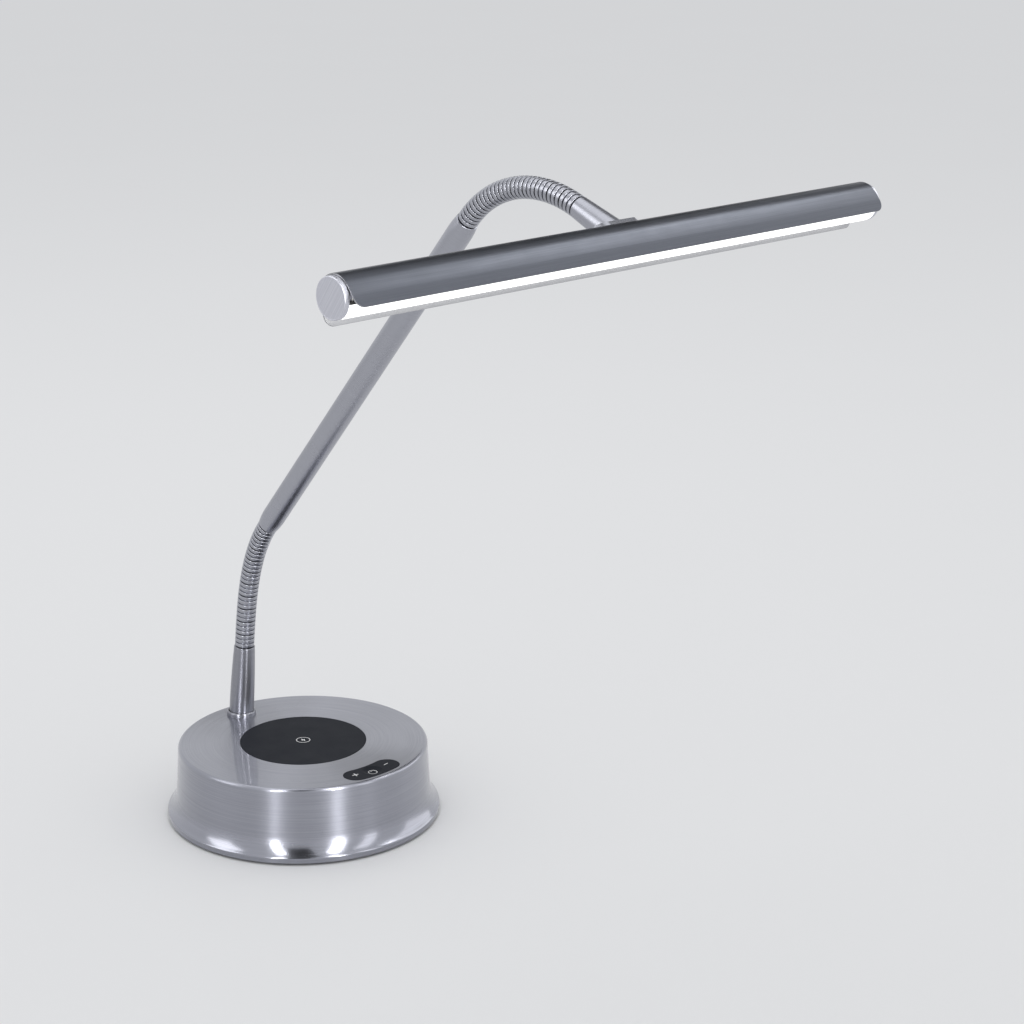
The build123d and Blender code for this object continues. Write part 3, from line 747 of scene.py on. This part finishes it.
FINISHES = (
    Brushed(
        "spun_nickel", (0.28, 0.286, 0.325), (0.345, 0.352, 0.40), (0.28, 0.35), Grain.ROUND,
        fineness=2400.0, run=1.2, anisotropy=0.85, relief=0.02, coat=0.7, polished_below=17.0,
    ),
    Brushed(
        "stem_nickel", (0.275, 0.278, 0.307), (0.30, 0.304, 0.337), (0.29, 0.32),
        turn=(STEM_LEAN, 0, 0), axis=STEM_FOOT, anisotropy=0.85, **TUBE,
    ),
    Brushed(
        "arm_nickel", (0.38, 0.386, 0.426), (0.405, 0.412, 0.455), (0.27, 0.30),
        turn=(ARM_LEAN, 0, 0), axis=ARM_START, **TUBE,
    ),
    Brushed(
        "saddle_nickel", (0.36, 0.366, 0.40), (0.38, 0.387, 0.425), (0.28, 0.31),
        turn=ALONG_X, relief=0.0,
    ),
    Brushed(
        "ferrule_nickel", (0.37, 0.376, 0.415), (0.40, 0.407, 0.45), (0.30, 0.33),
        turn=(FERRULE_LEAN, 0, 0), axis=FERRULE_START, **TUBE,
    ),
    Brushed("rib_nickel", (0.36, 0.366, 0.40), (0.40, 0.407, 0.445), (0.27, 0.32), relief=0.0),
    Brushed(
        "shade_grey", (0.092, 0.098, 0.115), (0.110, 0.117, 0.136), (0.34, 0.40), turn=ALONG_X
    ),
    Brushed("sheet_bare", (0.36, 0.362, 0.375), (0.42, 0.422, 0.435), (0.28, 0.36), turn=ALONG_X),
    Brushed(
        "cap_nickel", (0.54, 0.545, 0.60), (0.66, 0.665, 0.72), turn=(35, 0, 0), fineness=2600.0
    ),
    Brushed("plate_steel", (0.30, 0.30, 0.31), (0.42, 0.42, 0.43), (0.4, 0.5), run=40.0),
    Brushed("screw_steel", (0.45, 0.45, 0.46), (0.65, 0.65, 0.66), (0.2, 0.3)),
    Brushed("carrier_aluminium", (0.45, 0.45, 0.47), (0.60, 0.60, 0.62), turn=ALONG_X),
    Brushed("coil_copper", (0.55, 0.24, 0.12), (0.80, 0.42, 0.24), (0.3, 0.4), Grain.ROUND),
    Moulded("pad_black", (0.015, 0.017, 0.023), 0.55, relief=0.03, shine=0.08),
    Moulded("sign_white", (0.80, 0.80, 0.80), 0.5),
    Moulded("inner_black", (0.03, 0.03, 0.03), 0.5),
    Moulded("foot_foam", (0.03, 0.03, 0.03), 0.9, speckle=900.0, relief=0.6),
    Moulded("cast_iron", (0.06, 0.06, 0.065), 0.8, speckle=500.0, relief=0.8),
    Moulded("ferrite_grey", (0.07, 0.07, 0.075), 0.6),
    Moulded("board_green", (0.02, 0.16, 0.07), 0.35, coat=0.3),
    Moulded("board_white", (0.82, 0.82, 0.80), 0.4),
    Moulded("led_yellow", (0.85, 0.72, 0.25), 0.4),
    Glowing("opal_lens", (1.0, 1.0, 0.985), 1.25),
)

# solids that stay as they are, by finish
KEPT = {
    "plate_steel": ("base_plate", "stem_washer", "stem_nut"),
    "foot_foam": ("base_foot",),
    "cast_iron": ("ballast",),
    "screw_steel": (
        "base_screws", "ballast_screws", "tray_screws", "panel_screws", "board_screws",
        "saddle_screws", "dc_jack_contact",
    ),
    "inner_black": ("charging_tray", "dc_jack"),
    "coil_copper": ("charging_coil",),
    "ferrite_grey": ("ferrite_sheet",),
    "board_green": ("charger_board", "control_board", "driver_board"),
    "carrier_aluminium": ("led_carrier",),
    "board_white": ("led_board",),
    "led_yellow": ("leds",),
}


class Finishes:
    """Every finish of the lamp, made once."""

    def __init__(self) -> None:
        """Make the shared effects and each material."""
        effects = Effects()
        self.made = {finish.name: finish.make(effects) for finish in FINISHES}

    def dress(self, obj: Piece, name: str) -> None:
        """Give a piece one finish all over."""
        if not obj.material_slots:
            obj.data.materials.append(None)
        for slot in obj.material_slots:
            slot.material = self.made[name]


@dataclass
class Bench:
    """Fits pieces to the lamp and reports each one."""

    nodes: dict[str, Piece]
    finishes: Finishes

    def fit(self, piece: Piece, finish: str, body: str, slot: str, *nodes: str) -> None:
        """Finish a new piece and fix it to its body.

        Args:
            piece: the piece, in its place.
            finish: name of its finish.
            body: the body that it moves with.
            slot: material slot that its finish belongs to; not used.
            nodes: solids that it stands for.
        """
        smooth(piece)
        self.finishes.dress(piece, finish)
        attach(piece, body)
        if nodes:
            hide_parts(*nodes)
        log.info("%s: %d faces, %s, on %s", piece.name, len(piece.data.polygons), finish, body)

    def face_with(self, piece: Piece, finish: str) -> None:
        """Give those faces of a piece that use its second slot their own finish."""
        piece.material_slots[1].material = self.finishes.made[finish]

    def keep(self) -> None:
        """Finish the solids that stay as they are."""
        for finish, nodes in KEPT.items():
            for node in nodes:
                self.finishes.dress(self.nodes[node], finish)
                log.info("%s: kept, %s", node, finish)


# ---- base ----
BOLT = [(0.6, 3.0), (-1.7, -0.5), (-0.1, -0.5), (-0.6, -3.0), (1.7, 0.5), (0.1, 0.5)]
PLUS = [
    (2.4, 0.34), (0.34, 0.34), (0.34, 2.4), (-0.34, 2.4), (-0.34, 0.34), (-2.4, 0.34),
    (-2.4, -0.34), (-0.34, -0.34), (-0.34, -2.4), (0.34, -2.4), (0.34, -0.34), (2.4, -0.34),
]
MINUS = [(2.1, 0.3), (-2.1, 0.3), (-2.1, -0.3), (2.1, -0.3)]
POWER_LINE = [(0.28, 1.4), (-0.28, 1.4), (-0.28, -1.4), (0.28, -1.4)]


@dataclass
class Base:
    """Spun housing with its charging disc, touch panel, signs, foot and inlet."""

    bench: Bench
    flange_r: float = 98.4
    flange_low: float = 1.5
    flange_rounding: tuple[Point, ...] = ((98.4, 4.8), (98.3, 5.1), (98.05, 5.45))
    flare_end: Point = (97.7, 5.8)
    wall_foot: Point = (91.6, 18.5)
    wall_slope: Point = (1.8, -32.3)
    wall_middle: Point = (90.7, 34.65)
    wall_head: Point = (89.8, 50.8)
    edge_r: float = 87.4
    under_top: float = 51.4
    inside: tuple[Point, ...] = ((88.2, 50.2), (90.0, 18.5), (92.5, 3.5), (95.1, 3.5))
    stud_hole_r: float = 5.1
    inlet_r: float = 5.0
    inlet_height: float = 26.6
    pad_r: float = 45.4
    pad_top: float = 53.1
    pad_t: float = 3.1
    seam: float = 0.1
    lip: float = 0.4
    lip_middle: float = 0.12
    panel_ring: float = 76.3
    panel_half_angle: float = 10.7
    panel_half_width: float = 9.15
    panel_t: float = 3.3
    dish_r: float = 7.75
    dish_depth: float = 1.7
    sign_ring: float = 75.6
    power_ring: tuple[float, float] = (2.8, 3.25)

    def make(self) -> None:
        """Build every seen piece of the base."""
        self.make_housing()
        self.make_pad()
        self.make_panel()
        self.make_signs()

    def make_housing(self) -> None:
        """Spin the wall from flared foot to flat top and cut its openings."""
        rim = (self.edge_r, TOP)
        down = tuple(Vector(self.wall_slope).normalized())
        flare = tangent_arc(self.wall_foot, down, self.flare_end, 16)[::-1]
        edge = tangent_arc(rim, (1, 0), self.wall_head, 10)[::-1]
        mouth = self.pad_r + self.seam
        profile = [
            (self.flange_r, self.flange_low),
            *self.flange_rounding,
            *flare,
            self.wall_foot,
            self.wall_middle,
            *edge,
            rim,
            (70.0, TOP),
            (mouth + 0.3, TOP),
            (mouth + 0.05, TOP - self.lip_middle),
            (mouth, TOP - self.lip),
            (mouth, self.under_top),
            (86.4, self.under_top),
            *self.inside,
            (self.inside[-1][0], self.flange_low),
            (self.flange_r, self.flange_low),
        ]
        housing = lathe("spun_housing", profile, 192)
        slot_width = self.panel_half_width + self.seam
        carve(housing, arc_slab("slot", self.panel_ring, self.panel_half_angle, slot_width, 54, 4))
        stud = rod("stud_hole", self.stud_hole_r, 50.0, 55.0, 48)
        settle(stud, place=(0, STEM_BACK, 0))
        carve(housing, stud)
        inlet = rod("inlet_hole", self.inlet_r, 80.0, 100.0, 64)
        settle(inlet, turn=(-90, 0, 0), place=(0, 0, self.inlet_height))
        carve(housing, inlet)
        self.bench.fit(housing, "spun_nickel", "base", "base_housing", "base_shell")

    def make_pad(self) -> None:
        """Turn the charging disc with its softened edge."""
        profile = [
            (self.pad_r, self.pad_top - self.pad_t),
            (self.pad_r, self.pad_top - self.lip),
            (self.pad_r - self.lip_middle, self.pad_top - self.lip_middle),
            (self.pad_r - self.lip, self.pad_top),
        ]
        pad = lathe("charging_disc", profile, 160)
        self.bench.fit(pad, "pad_black", "base", "pad_black", "charging_pad")

    def make_panel(self) -> None:
        """Mould the touch panel and press its finger dish."""
        size = (self.panel_half_angle, self.panel_half_width, self.pad_top, self.panel_t)
        panel = arc_slab("touch_panel", self.panel_ring, *size)
        radii = [self.dish_r * i / 10 for i in range(1, 11)]
        brim = self.dish_r + 0.2
        bowl = [(r, self.dish_height(r)) for r in radii]
        dish = lathe("dish", [*bowl, (brim, self.pad_top + 0.3), (brim, 55)], 64)
        settle(dish, place=(0, -self.panel_ring, 0))
        carve(panel, dish)
        soften(panel, 0.25, 2, 30)
        self.bench.fit(panel, "pad_black", "base", "pad_black", "control_panel")

    def make_signs(self) -> None:
        """Print the charging, plus, minus and power signs."""
        centre = (0, 0, self.pad_top + SIGN_T)
        signs = [
            ring_sign("charging_ring", 5.1, 0.5, centre),
            flat_sign("charging_bolt", BOLT, centre),
            self.touch_sign("plus_sign", PLUS, -10.9),
            self.touch_sign("minus_sign", MINUS, 10.6),
            *self.make_power_sign(),
        ]
        for sign in signs:
            self.bench.fit(sign, "sign_white", "base", "board_white")

    def touch_sign(self, name: str, outline: list[Point], angle: float) -> Piece:
        """Print a sign on the panel.

        Args:
            name: the piece's name.
            outline: its corners round its own centre.
            angle: angle of its centre from the front.

        Returns:
            The sign.
        """
        turn = radians(angle)
        x, y = self.sign_ring * sin(turn), -self.sign_ring * cos(turn)
        return flat_sign(name, outline, (x, y, self.pad_top + SIGN_T), angle)

    def dish_height(self, radius: float) -> float:
        """Height of the dish's face at a distance from its centre."""
        ball = (self.dish_r**2 + self.dish_depth**2) / (2 * self.dish_depth)
        return self.pad_top - self.dish_depth + ball - sqrt(ball**2 - radius**2)

    def make_power_sign(self) -> list[Piece]:
        """Print the power sign in the dish.

        Returns:
            A ring with a gap, and a short line in the gap.
        """
        inner, outer = self.power_ring
        low, high = self.dish_height(inner), self.dish_height(outer)
        lift = 2 * SIGN_T
        upper = [(outer, high + lift), (inner, low + lift)]
        ring = lathe("power_ring", [(inner, low), (outer, high), *upper, (inner, low)], 64)
        carve(ring, block("gap", (2.2, 3, 3), (0, 3, low)))
        settle(ring, place=(0, -self.panel_ring, 0))
        place = (0, 2.6 - self.panel_ring, high + lift)
        return [ring, flat_sign("power_line", POWER_LINE, place)]


# ---- stem, necks and arm ----
@dataclass
class Neck:
    """Ribbed gooseneck of ten links of three ribs."""

    bench: Bench
    label: str
    pivots: list[Vector]
    lean_in: float
    lean_out: float
    links: int = 10
    ribs: int = 3
    crest_r: float = 7.1
    root_r: float = 5.9
    shoulder: float = 0.4
    gap: float = 0.95
    groove: float = 0.1
    socket_r: float = 5.45
    socket_depth: float = 4.5
    pin_r: float = 4.85
    pin_length: float = 2.7

    @property
    def pitch(self) -> float:
        """Length of one link along the neck."""
        return (self.pivots[1] - self.pivots[0]).length

    @property
    def end(self) -> Vector:
        """Where the next piece starts."""
        return self.pivots[-1] + heading(self.lean_out) * self.gap / 2

    def make(self) -> None:
        """Bend ten copies of one link along the neck's course."""
        course = self.draw_course()
        pattern = self.turn_link()
        for i in range(1, self.links + 1):
            name = f"{self.label}_neck_link_{i:02d}"
            link = copied(pattern, f"ribs_{self.label}_{i:02d}")
            settle(link, place=(0, 0, self.pitch * i))
            bend = link.modifiers.new("bend", "CURVE")
            bend.object = course
            bend.deform_axis = "POS_Z"
            apply_modifiers(link)
            self.bench.fit(link, "rib_nickel", name, "neck_nickel", name)
        bpy.data.objects.remove(pattern)
        bpy.data.objects.remove(course)

    def draw_course(self) -> Piece:
        """Draw the neck's course.

        Returns:
            The smooth line through the pivots, one pitch longer at each end.
        """
        first = self.pivots[0] - heading(self.lean_in) * self.pitch
        last = self.pivots[-1] + heading(self.lean_out) * self.pitch
        points = [first, *self.pivots, last]
        bpy.ops.curve.primitive_bezier_curve_add()
        course = named("course")
        spline = course.data.splines[0]
        spline.bezier_points.add(len(points) - 2)
        spline.resolution_u = 24
        for knot, point in zip(spline.bezier_points, points):
            knot.co = point * MM
            knot.handle_left_type = knot.handle_right_type = "AUTO"
        return course

    def turn_link(self) -> Piece:
        """Turn one straight link.

        Returns:
            The link, upright: socket, three domed ribs and pin.
        """
        half_gap = self.gap / 2
        base = self.crest_r - self.shoulder
        turns = [radians(a) for a in (0, 30, 60, 90)]
        rise = [
            (base + self.shoulder * sin(a), self.shoulder * (1 - cos(a))) for a in turns
        ]
        profile = [(self.socket_r, self.socket_depth), (self.socket_r, half_gap)]
        for i in range(self.ribs):
            low = self.pitch / self.ribs * i + half_gap
            high = self.pitch / self.ribs * (i + 1) - half_gap
            profile += [(r, low + z) for r, z in rise]
            profile += [(r, high - z) for r, z in reversed(rise)]
            if i < self.ribs - 1:
                ends = (high + self.groove, high + self.gap - self.groove)
                profile += [(self.root_r, z) for z in ends]
        ends = (self.pitch - half_gap, self.pitch + self.pin_length)
        profile += [(self.pin_r, z) for z in ends]
        return lathe("link_pattern", profile, 48)


@dataclass
class Stand:
    """Stem with its collar, both goosenecks and the arm between them."""

    bench: Bench
    joints: dict[str, Vector]
    stem_length: float = 55.5
    stem_radii: Triple = (8.95, 8.75, 7.6)
    stem_below: float = 1.5
    stem_rim: tuple[Point, ...] = ((7.45, 0.25), (7.15, 0))
    stud_r: float = 5.0
    collar_radii: tuple[float, float] = (9.4, 10.7)
    collar_height: float = 3.2
    collar_corner: float = 1.2
    arm_length: float = 321.8
    arm_r: float = 8.35
    arm_end_r: float = 7.35
    arm_plain: float = 60.0
    swage: float = 12.0
    ease: float = 0.15
    rim: float = 0.5

    def make(self) -> None:
        """Build the stand from the base up."""
        lower = self.neck("lower", STEM_LEAN, ARM_LEAN)
        upper = self.neck("upper", ARM_LEAN, FERRULE_LEAN)
        self.make_stem(lower)
        self.make_collar()
        lower.make()
        self.make_arm(lower)
        upper.make()

    def neck(self, label: str, lean_in: float, lean_out: float) -> Neck:
        """Lay out one gooseneck through its joints."""
        pivots = [place for name, place in self.joints.items() if name.startswith(label)]
        return Neck(self.bench, label, pivots, lean_in, lean_out)

    def make_stem(self, lower: Neck) -> None:
        """Turn the tapered stem and cut its foot level with the housing.

        Args:
            lower: the neck that it carries.
        """
        foot_r, middle_r, head_r = self.stem_radii
        bulge = middle_r - (foot_r + head_r) / 2
        course = self.stem_length + 0.9
        profile = []
        for i in range(11):
            u = i / 10
            radius = foot_r + u * (head_r - foot_r) + 4 * u * (1 - u) * bulge
            profile.append((radius, u * course - self.stem_below))
        pin_top = self.stem_length + lower.gap / 2 + lower.pin_length
        profile += [(r, self.stem_length - z) for r, z in self.stem_rim]
        profile += [(lower.pin_r, self.stem_length), (lower.pin_r, pin_top)]
        stem = lathe("leaning_stem", profile)
        settle(stem, turn=(STEM_LEAN, 0, 0), place=STEM_FOOT)
        with editing(stem):
            bpy.ops.mesh.bisect(
                plane_co=(0, 0, TOP * MM), plane_no=(0, 0, 1), use_fill=True, clear_inner=True
            )
        stud = rod("stud", self.stud_r, 40.0, 54.0, 48)
        settle(stud, place=(0, STEM_BACK, 0))
        carve(stem, stud, "UNION")
        self.bench.fit(stem, "stem_nickel", "base", "satin_nickel", "stem")

    def make_collar(self) -> None:
        """Turn the ring round the stem's foot."""
        inner, outer = self.collar_radii
        corner, height = self.collar_corner, self.collar_height
        turns = [radians(a) for a in (90, 67, 45, 22, 0)]
        rounding = [
            (outer - corner * (1 - sin(a)), height - corner * (1 - cos(a))) for a in turns
        ]
        profile = [(inner, 0), (outer, 0), *rounding, (inner, height - 0.1), (inner, 0)]
        collar = lathe("stem_ring", profile)
        settle(collar, place=STEM_FOOT)
        self.bench.fit(collar, "stem_nickel", "base", "satin_nickel", "stem_collar")

    def make_arm(self, lower: Neck) -> None:
        """Turn the arm with its two swaged ends.

        Args:
            lower: the neck that carries it.
        """
        end = self.arm_length
        start = (self.arm_r, self.swage)
        foot = tangent_arc(start, (0, -1), (self.arm_end_r, self.rim), 8)[::-1]
        profile = [
            (lower.socket_r, lower.socket_depth),
            (lower.socket_r, self.ease),
            (self.arm_end_r - self.rim, self.ease),
            *foot,
            start,
            (self.arm_r, self.arm_plain),
            (self.arm_r, end - self.arm_plain),
            (self.arm_r, end - self.swage),
            *((r, end - z) for r, z in reversed(foot)),
            (self.arm_end_r - self.rim, end - self.ease),
            (lower.pin_r, end - self.ease),
            (lower.pin_r, end + lower.gap / 2 + lower.pin_length),
        ]
        arm = lathe("straight_arm", profile)
        settle(arm, turn=(ARM_LEAN, 0, 0), place=tuple(lower.end))
        self.bench.fit(arm, "arm_nickel", "arm", "satin_nickel", "arm_tube")


# ---- head ----
def polar(radius: float, angle: float) -> Point:
    """Point of the head's section: forward and up, its angle from forward towards up."""
    return (radius * cos(radians(angle)), radius * sin(radians(angle)))


def polar_arc(radius: float, start: float, end: float, steps: int) -> list[Point]:
    """Points of an arc of the head's section."""
    return [polar(radius, start + (end - start) * i / steps) for i in range(steps + 1)]


@dataclass
class Head:
    """Lamp head: shade, lens, end caps, saddle and ferrule."""

    bench: Bench
    ferrule_start: Vector
    half_length: float = 223.5
    shade_r: float = 13.0
    sheet: float = 1.0
    visor_tip: Point = (18.4, -9.0)
    visor_bend: float = 46.0
    rear_tip: Point = (19.6, 245.0)
    rear_bend: float = 196.55
    corner: float = 6.0
    lens_r: float = 11.9
    lens_t: float = 1.3
    lens_top: tuple[float, float] = (-2.3, -6.0)
    # angle where the painted shade on the lens's upper lip ends
    lens_shade_edge: float = -11.0
    lens_end: float = -123.7
    cap_r: float = 12.0
    cap_t: float = 3.3
    plug_r: float = 10.0
    saddle_r: float = 15.2
    saddle_angle: float = 149.0
    saddle_half: float = 17.5
    saddle_width: float = 19.6
    saddle_corner: float = 8.0
    screw_x: float = 13.0
    ferrule: tuple[Point, ...] = (
        (5.45, 4.5), (5.45, 0), (6.9, 0), (7.1, 0.1), (7.2, 0.4), (8.8, 36.0),
    )

    def make(self) -> None:
        """Build the head."""
        self.make_shade()
        self.make_lens()
        self.make_cap("left", -90)
        self.make_cap("right", 90)
        self.make_saddle()
        self.make_ferrule()

    def make_shade(self) -> None:
        """Fold the shade's sheet and round the four corners of its wings."""
        visor, rear = polar(*self.visor_tip), polar(*self.rear_tip)
        back = polar_arc(self.shade_r, self.visor_bend, self.rear_bend, 40)
        turn = radians(self.visor_bend)
        front = tangent_arc(back[0], (sin(turn), -cos(turn)), visor, 12)[::-1]
        front = [visor, *(p for p in front if dist(p, visor) > self.corner + 0.3)]
        hold_rear = tuple(v + (b - v) * 0.7 for v, b in zip(rear, back[-1]))
        shade = drawn_sheet("shade_sheet", self.half_length, [*front, *back, hold_rear, rear])
        tips = [Vector((0, -f, u)) for f, u in (visor, rear)]
        pick(shade, lambda p: min((Vector((0, p.y, p.z)) - tip).length for tip in tips) < NEAR)
        bpy.ops.mesh.bevel(offset=self.corner * MM, segments=8, affect="VERTICES")
        mode("OBJECT")
        thicken(shade, self.sheet, two_sided=True)
        soften(shade, 0.18, 2, 50)
        settle(shade, place=HEAD_CENTRE)
        self.bench.fit(shade, "shade_grey", "head", "shade_grey", "shade")
        self.bench.face_with(shade, "sheet_bare")

    def make_lens(self) -> None:
        """Form the half-round lens. Its upper lip takes the black finish: painted shade that
        stands in for the shadow in the gap under the visor.
        """
        lip = [polar(self.lens_r, angle) for angle in self.lens_top]
        course = [*lip, *polar_arc(self.lens_r, self.lens_shade_edge, self.lens_end, 32)]
        lens = drawn_sheet("opal_lens_strip", self.half_length, course)
        thicken(lens, self.lens_t)
        two_slots(lens)
        # painted shade: faces above this angle take the black finish, standing in for the shadow
        # between visor, cap and lens
        for face in lens.data.polygons:
            angle = degrees(atan2(face.center.z, -face.center.y))
            face.material_index = int(angle > self.lens_shade_edge)
        settle(lens, place=HEAD_CENTRE)
        self.bench.fit(lens, "opal_lens", "head", "opal_lens", "diffuser")
        self.bench.face_with(lens, "inner_black")

    def make_cap(self, side: str, turn: float) -> None:
        """Turn one end cap: plug, rim and slightly sunk face.

        Args:
            side: left or right.
            turn: angle about Y that points the cap outwards.
        """
        end, face = self.half_length, self.half_length + self.cap_t
        profile = [
            (self.plug_r, end - 3.2),
            (self.plug_r, end + 0.1),
            (self.cap_r - 0.2, end + 0.1),
            (self.cap_r, end + 0.3),
            (self.cap_r, face - 0.6),
            (self.cap_r - 0.15, face - 0.2),
            (self.cap_r - 0.5, face),
            (self.cap_r - 0.9, face),
            (self.cap_r - 1.05, face - 0.12),
            (2.0, face - 0.12),
        ]
        cap = lathe(f"brushed_cap_{side}", profile)
        settle(cap, turn=(0, turn, 0), place=HEAD_CENTRE)
        self.bench.fit(cap, "cap_nickel", "head", "cap_nickel", f"end_cap_{side}")

    def make_saddle(self) -> None:
        """Cut the curved plate behind the shade from a tube, with its screw holes."""
        inner, outer, half = self.shade_r + 0.02, self.saddle_r, self.saddle_half
        tube = [(inner, -half), (outer, -half), (outer, half), (inner, half), (inner, -half)]
        saddle = lathe("saddle_plate", tube, 192)
        settle(saddle, turn=(0, 90, 0))
        tilt = 90 - self.saddle_angle
        outline = self.saddle_outline()
        settle(outline, turn=(tilt, 0, 0))
        carve(saddle, outline, "INTERSECT")
        soften(saddle, 0.3, 3, 40)
        for x in (-self.screw_x, self.screw_x):
            sink = lathe("sink", [(1.6, -10.0), (1.6, -1.3), (2.86, 0.0), (2.86, 2.0)], 48)
            settle(sink, place=(x, 0, 15.0))
            settle(sink, turn=(tilt, 0, 0))
            carve(saddle, sink)
        settle(saddle, place=HEAD_CENTRE)
        self.bench.fit(saddle, "saddle_nickel", "head", "satin_nickel", "saddle")

    def saddle_outline(self) -> Piece:
        """Make the block that cuts the saddle's outline.

        Returns:
            A block with four rounded upright edges.
        """
        outline = block("outline", (2 * self.saddle_half, self.saddle_width, 20), (0, 0, 15))
        with editing(outline):
            bpy.ops.mesh.select_mode(type="EDGE")
            bpy.ops.mesh.select_all(action="DESELECT")
        points = outline.data.vertices
        for edge in outline.data.edges:
            a, b = (points[i].co for i in edge.vertices)
            edge.select = abs(a.z - b.z) > 10 * MM
        mode("EDIT")
        bpy.ops.mesh.bevel(offset=self.saddle_corner * MM, segments=10)
        bpy.ops.mesh.select_mode(type="VERT")
        mode("OBJECT")
        return outline

    def make_ferrule(self) -> None:
        """Turn the ferrule and cut its end to sit on the saddle."""
        ferrule = lathe("head_ferrule_tube", list(self.ferrule))
        settle(ferrule, turn=(FERRULE_LEAN, 0, 0), place=tuple(self.ferrule_start))
        seat = rod("seat", self.saddle_r, -30.0, 30.0, 192)
        settle(seat, turn=(0, 90, 0))
        settle(seat, place=HEAD_CENTRE)
        carve(ferrule, seat)
        self.bench.fit(ferrule, "ferrule_nickel", "head", "satin_nickel", "head_ferrule")


# ---- studio ----
def aim(place: Triple) -> Euler:
    """Turn that points something at a place, in metres, towards the middle of the lamp."""
    return (Vector((0, -0.1, 0.2)) - Vector(place)).to_track_quat("-Z", "Y").to_euler()


def cover(obj: Piece, name: str, colours: tuple[Colour, Colour], **cloud: float) -> Node:
    """Give a thing of the studio a dull mottled material.

    Args:
        obj: the thing.
        name: the material's name.
        colours: its two colours.
        cloud: settings of the noise that mixes them.

    Returns:
        The material's Principled node.
    """
    material, s, principled, spot = blank(name)
    mottle = s.noise({"Vector": spot, **cloud})
    s.feed(principled, {"Base Color": s.mix(mottle, *colours)})
    obj.data.materials.append(material)
    return principled


@dataclass(frozen=True)
class Hung:
    """Thing that hangs in the studio, its place and size in metres."""

    name: str
    place: Triple
    size: Point


@dataclass(frozen=True)
class Lamp(Hung):
    """Soft lamp, its power in watts."""

    power: float
    glints_only: bool = True

    def hang(self) -> None:
        """Hang the lamp. One for glints leaves the floor and other dull surfaces unlit."""
        bpy.ops.object.light_add(type="AREA", location=self.place, rotation=aim(self.place))
        lamp = named(self.name)
        lamp.data.shape = "RECTANGLE"
        lamp.data.size, lamp.data.size_y = self.size
        lamp.data.energy = self.power
        lamp.visible_diffuse = not self.glints_only


@dataclass(frozen=True)
class Card(Hung):
    """Dark card that only shows in bright metal."""

    tone: float

    def hang(self) -> None:
        """Hang the card."""
        bpy.ops.mesh.primitive_plane_add(size=1, location=self.place, rotation=aim(self.place))
        card = named(self.name)
        card.scale = (*self.size, 1)
        card.visible_camera = card.visible_diffuse = card.visible_shadow = False
        cover(card, f"{self.name}_cloth", ((0.8 * self.tone,) * 3, (self.tone,) * 3), Scale=40.0)


HUNG = (
    Lamp("top_softbox", (0.2, 0.5, 2.4), (2.0, 2.0), 9.0, glints_only=False),
    Lamp("left_strip", (-1.80, -0.87, 1.1), (0.18, 2.2), 21.5),
    Lamp("right_strip", (-0.36, -1.97, 1.1), (0.28, 2.2), 31.0),
    Lamp("right_panel", (0.62, -1.90, 1.0), (0.45, 2.0), 3.6),
    Lamp("far_panel", (1.91, -0.60, 1.0), (1.4, 1.8), 6.5),
    Lamp("neck_panel", (-1.45, 0.80, 1.25), (0.8, 1.0), 5.0),
    Lamp("side_softbox", (1.20, -0.62, 1.60), (0.7, 0.35), 3.6),
    Card("front_card", (-0.56, -0.60, 1.08), (0.40, 1.2), 0.03),
    Card("near_card", (0.845, 0.52, 1.17), (0.58, 1.1), 0.03),
    Card("far_card", (1.035, -0.02, 1.17), (0.54, 1.1), 0.36),
)


@dataclass
class Studio:
    """Plain pale floor, soft lamps, pale surroundings and the camera."""

    floor_colour: Colour = (0.80, 0.80, 0.80)
    floor_size: float = 60.0
    floor_height: float = -0.0002
    surroundings: Colour = (0.86, 0.87, 0.89)
    brightness: float = 0.95
    camera_place: Triple = (-1.0277, -1.2614, 0.7209)
    camera_turn: Triple = (73.032, -0.442, -44.311)
    lens: float = 84.84

    def make(self) -> None:
        """Set up floor, light and camera."""
        self.lay_floor()
        self.light_surroundings()
        for thing in HUNG:
            thing.hang()
        self.set_camera()

    def lay_floor(self) -> None:
        """Lay the floor under the lamp."""
        place = (0, 0, self.floor_height)
        bpy.ops.mesh.primitive_plane_add(size=self.floor_size, location=place)
        floor = named("studio_floor")
        colours = (tuple(c * 0.99 for c in self.floor_colour), self.floor_colour)
        principled = cover(floor, "pale_floor", colours, Scale=3.0, Detail=2.0)
        principled.inputs["Roughness"].default_value = 0.9
        principled.inputs["Specular IOR Level"].default_value = 0.0

    def light_surroundings(self) -> None:
        """Light the surroundings evenly."""
        world = bpy.data.worlds.new("surroundings")
        world.use_nodes = True
        bpy.context.scene.world = world
        background = world.node_tree.nodes["Background"]
        background.inputs["Color"].default_value = (*self.surroundings, 1)
        background.inputs["Strength"].default_value = self.brightness

    def set_camera(self) -> None:
        """Place the camera."""
        turn = [radians(a) for a in self.camera_turn]
        bpy.ops.object.camera_add(location=self.camera_place, rotation=turn)
        camera = bpy.context.object
        camera.data.lens = self.lens
        camera.data.sensor_width = 36
        camera.data.clip_end = 200
        bpy.context.scene.camera = camera
        bpy.context.scene.view_settings.view_transform = "Standard"


def main() -> None:
    """Make the lamp's pieces and the studio."""
    logging.basicConfig(level=logging.INFO, format="%(name)s: %(message)s")
    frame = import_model()
    clear_selection()
    bench = Bench(frame["nodes"], Finishes())
    bench.keep()
    joints = {joint["name"]: Vector(joint["pos_m"]) / MM for joint in frame["joints"]}
    Base(bench).make()
    stand = Stand(bench, joints)
    stand.make()
    Head(bench, stand.neck("upper", ARM_LEAN, FERRULE_LEAN).end).make()
    Studio().make()


if __name__ == "__main__":
    main()
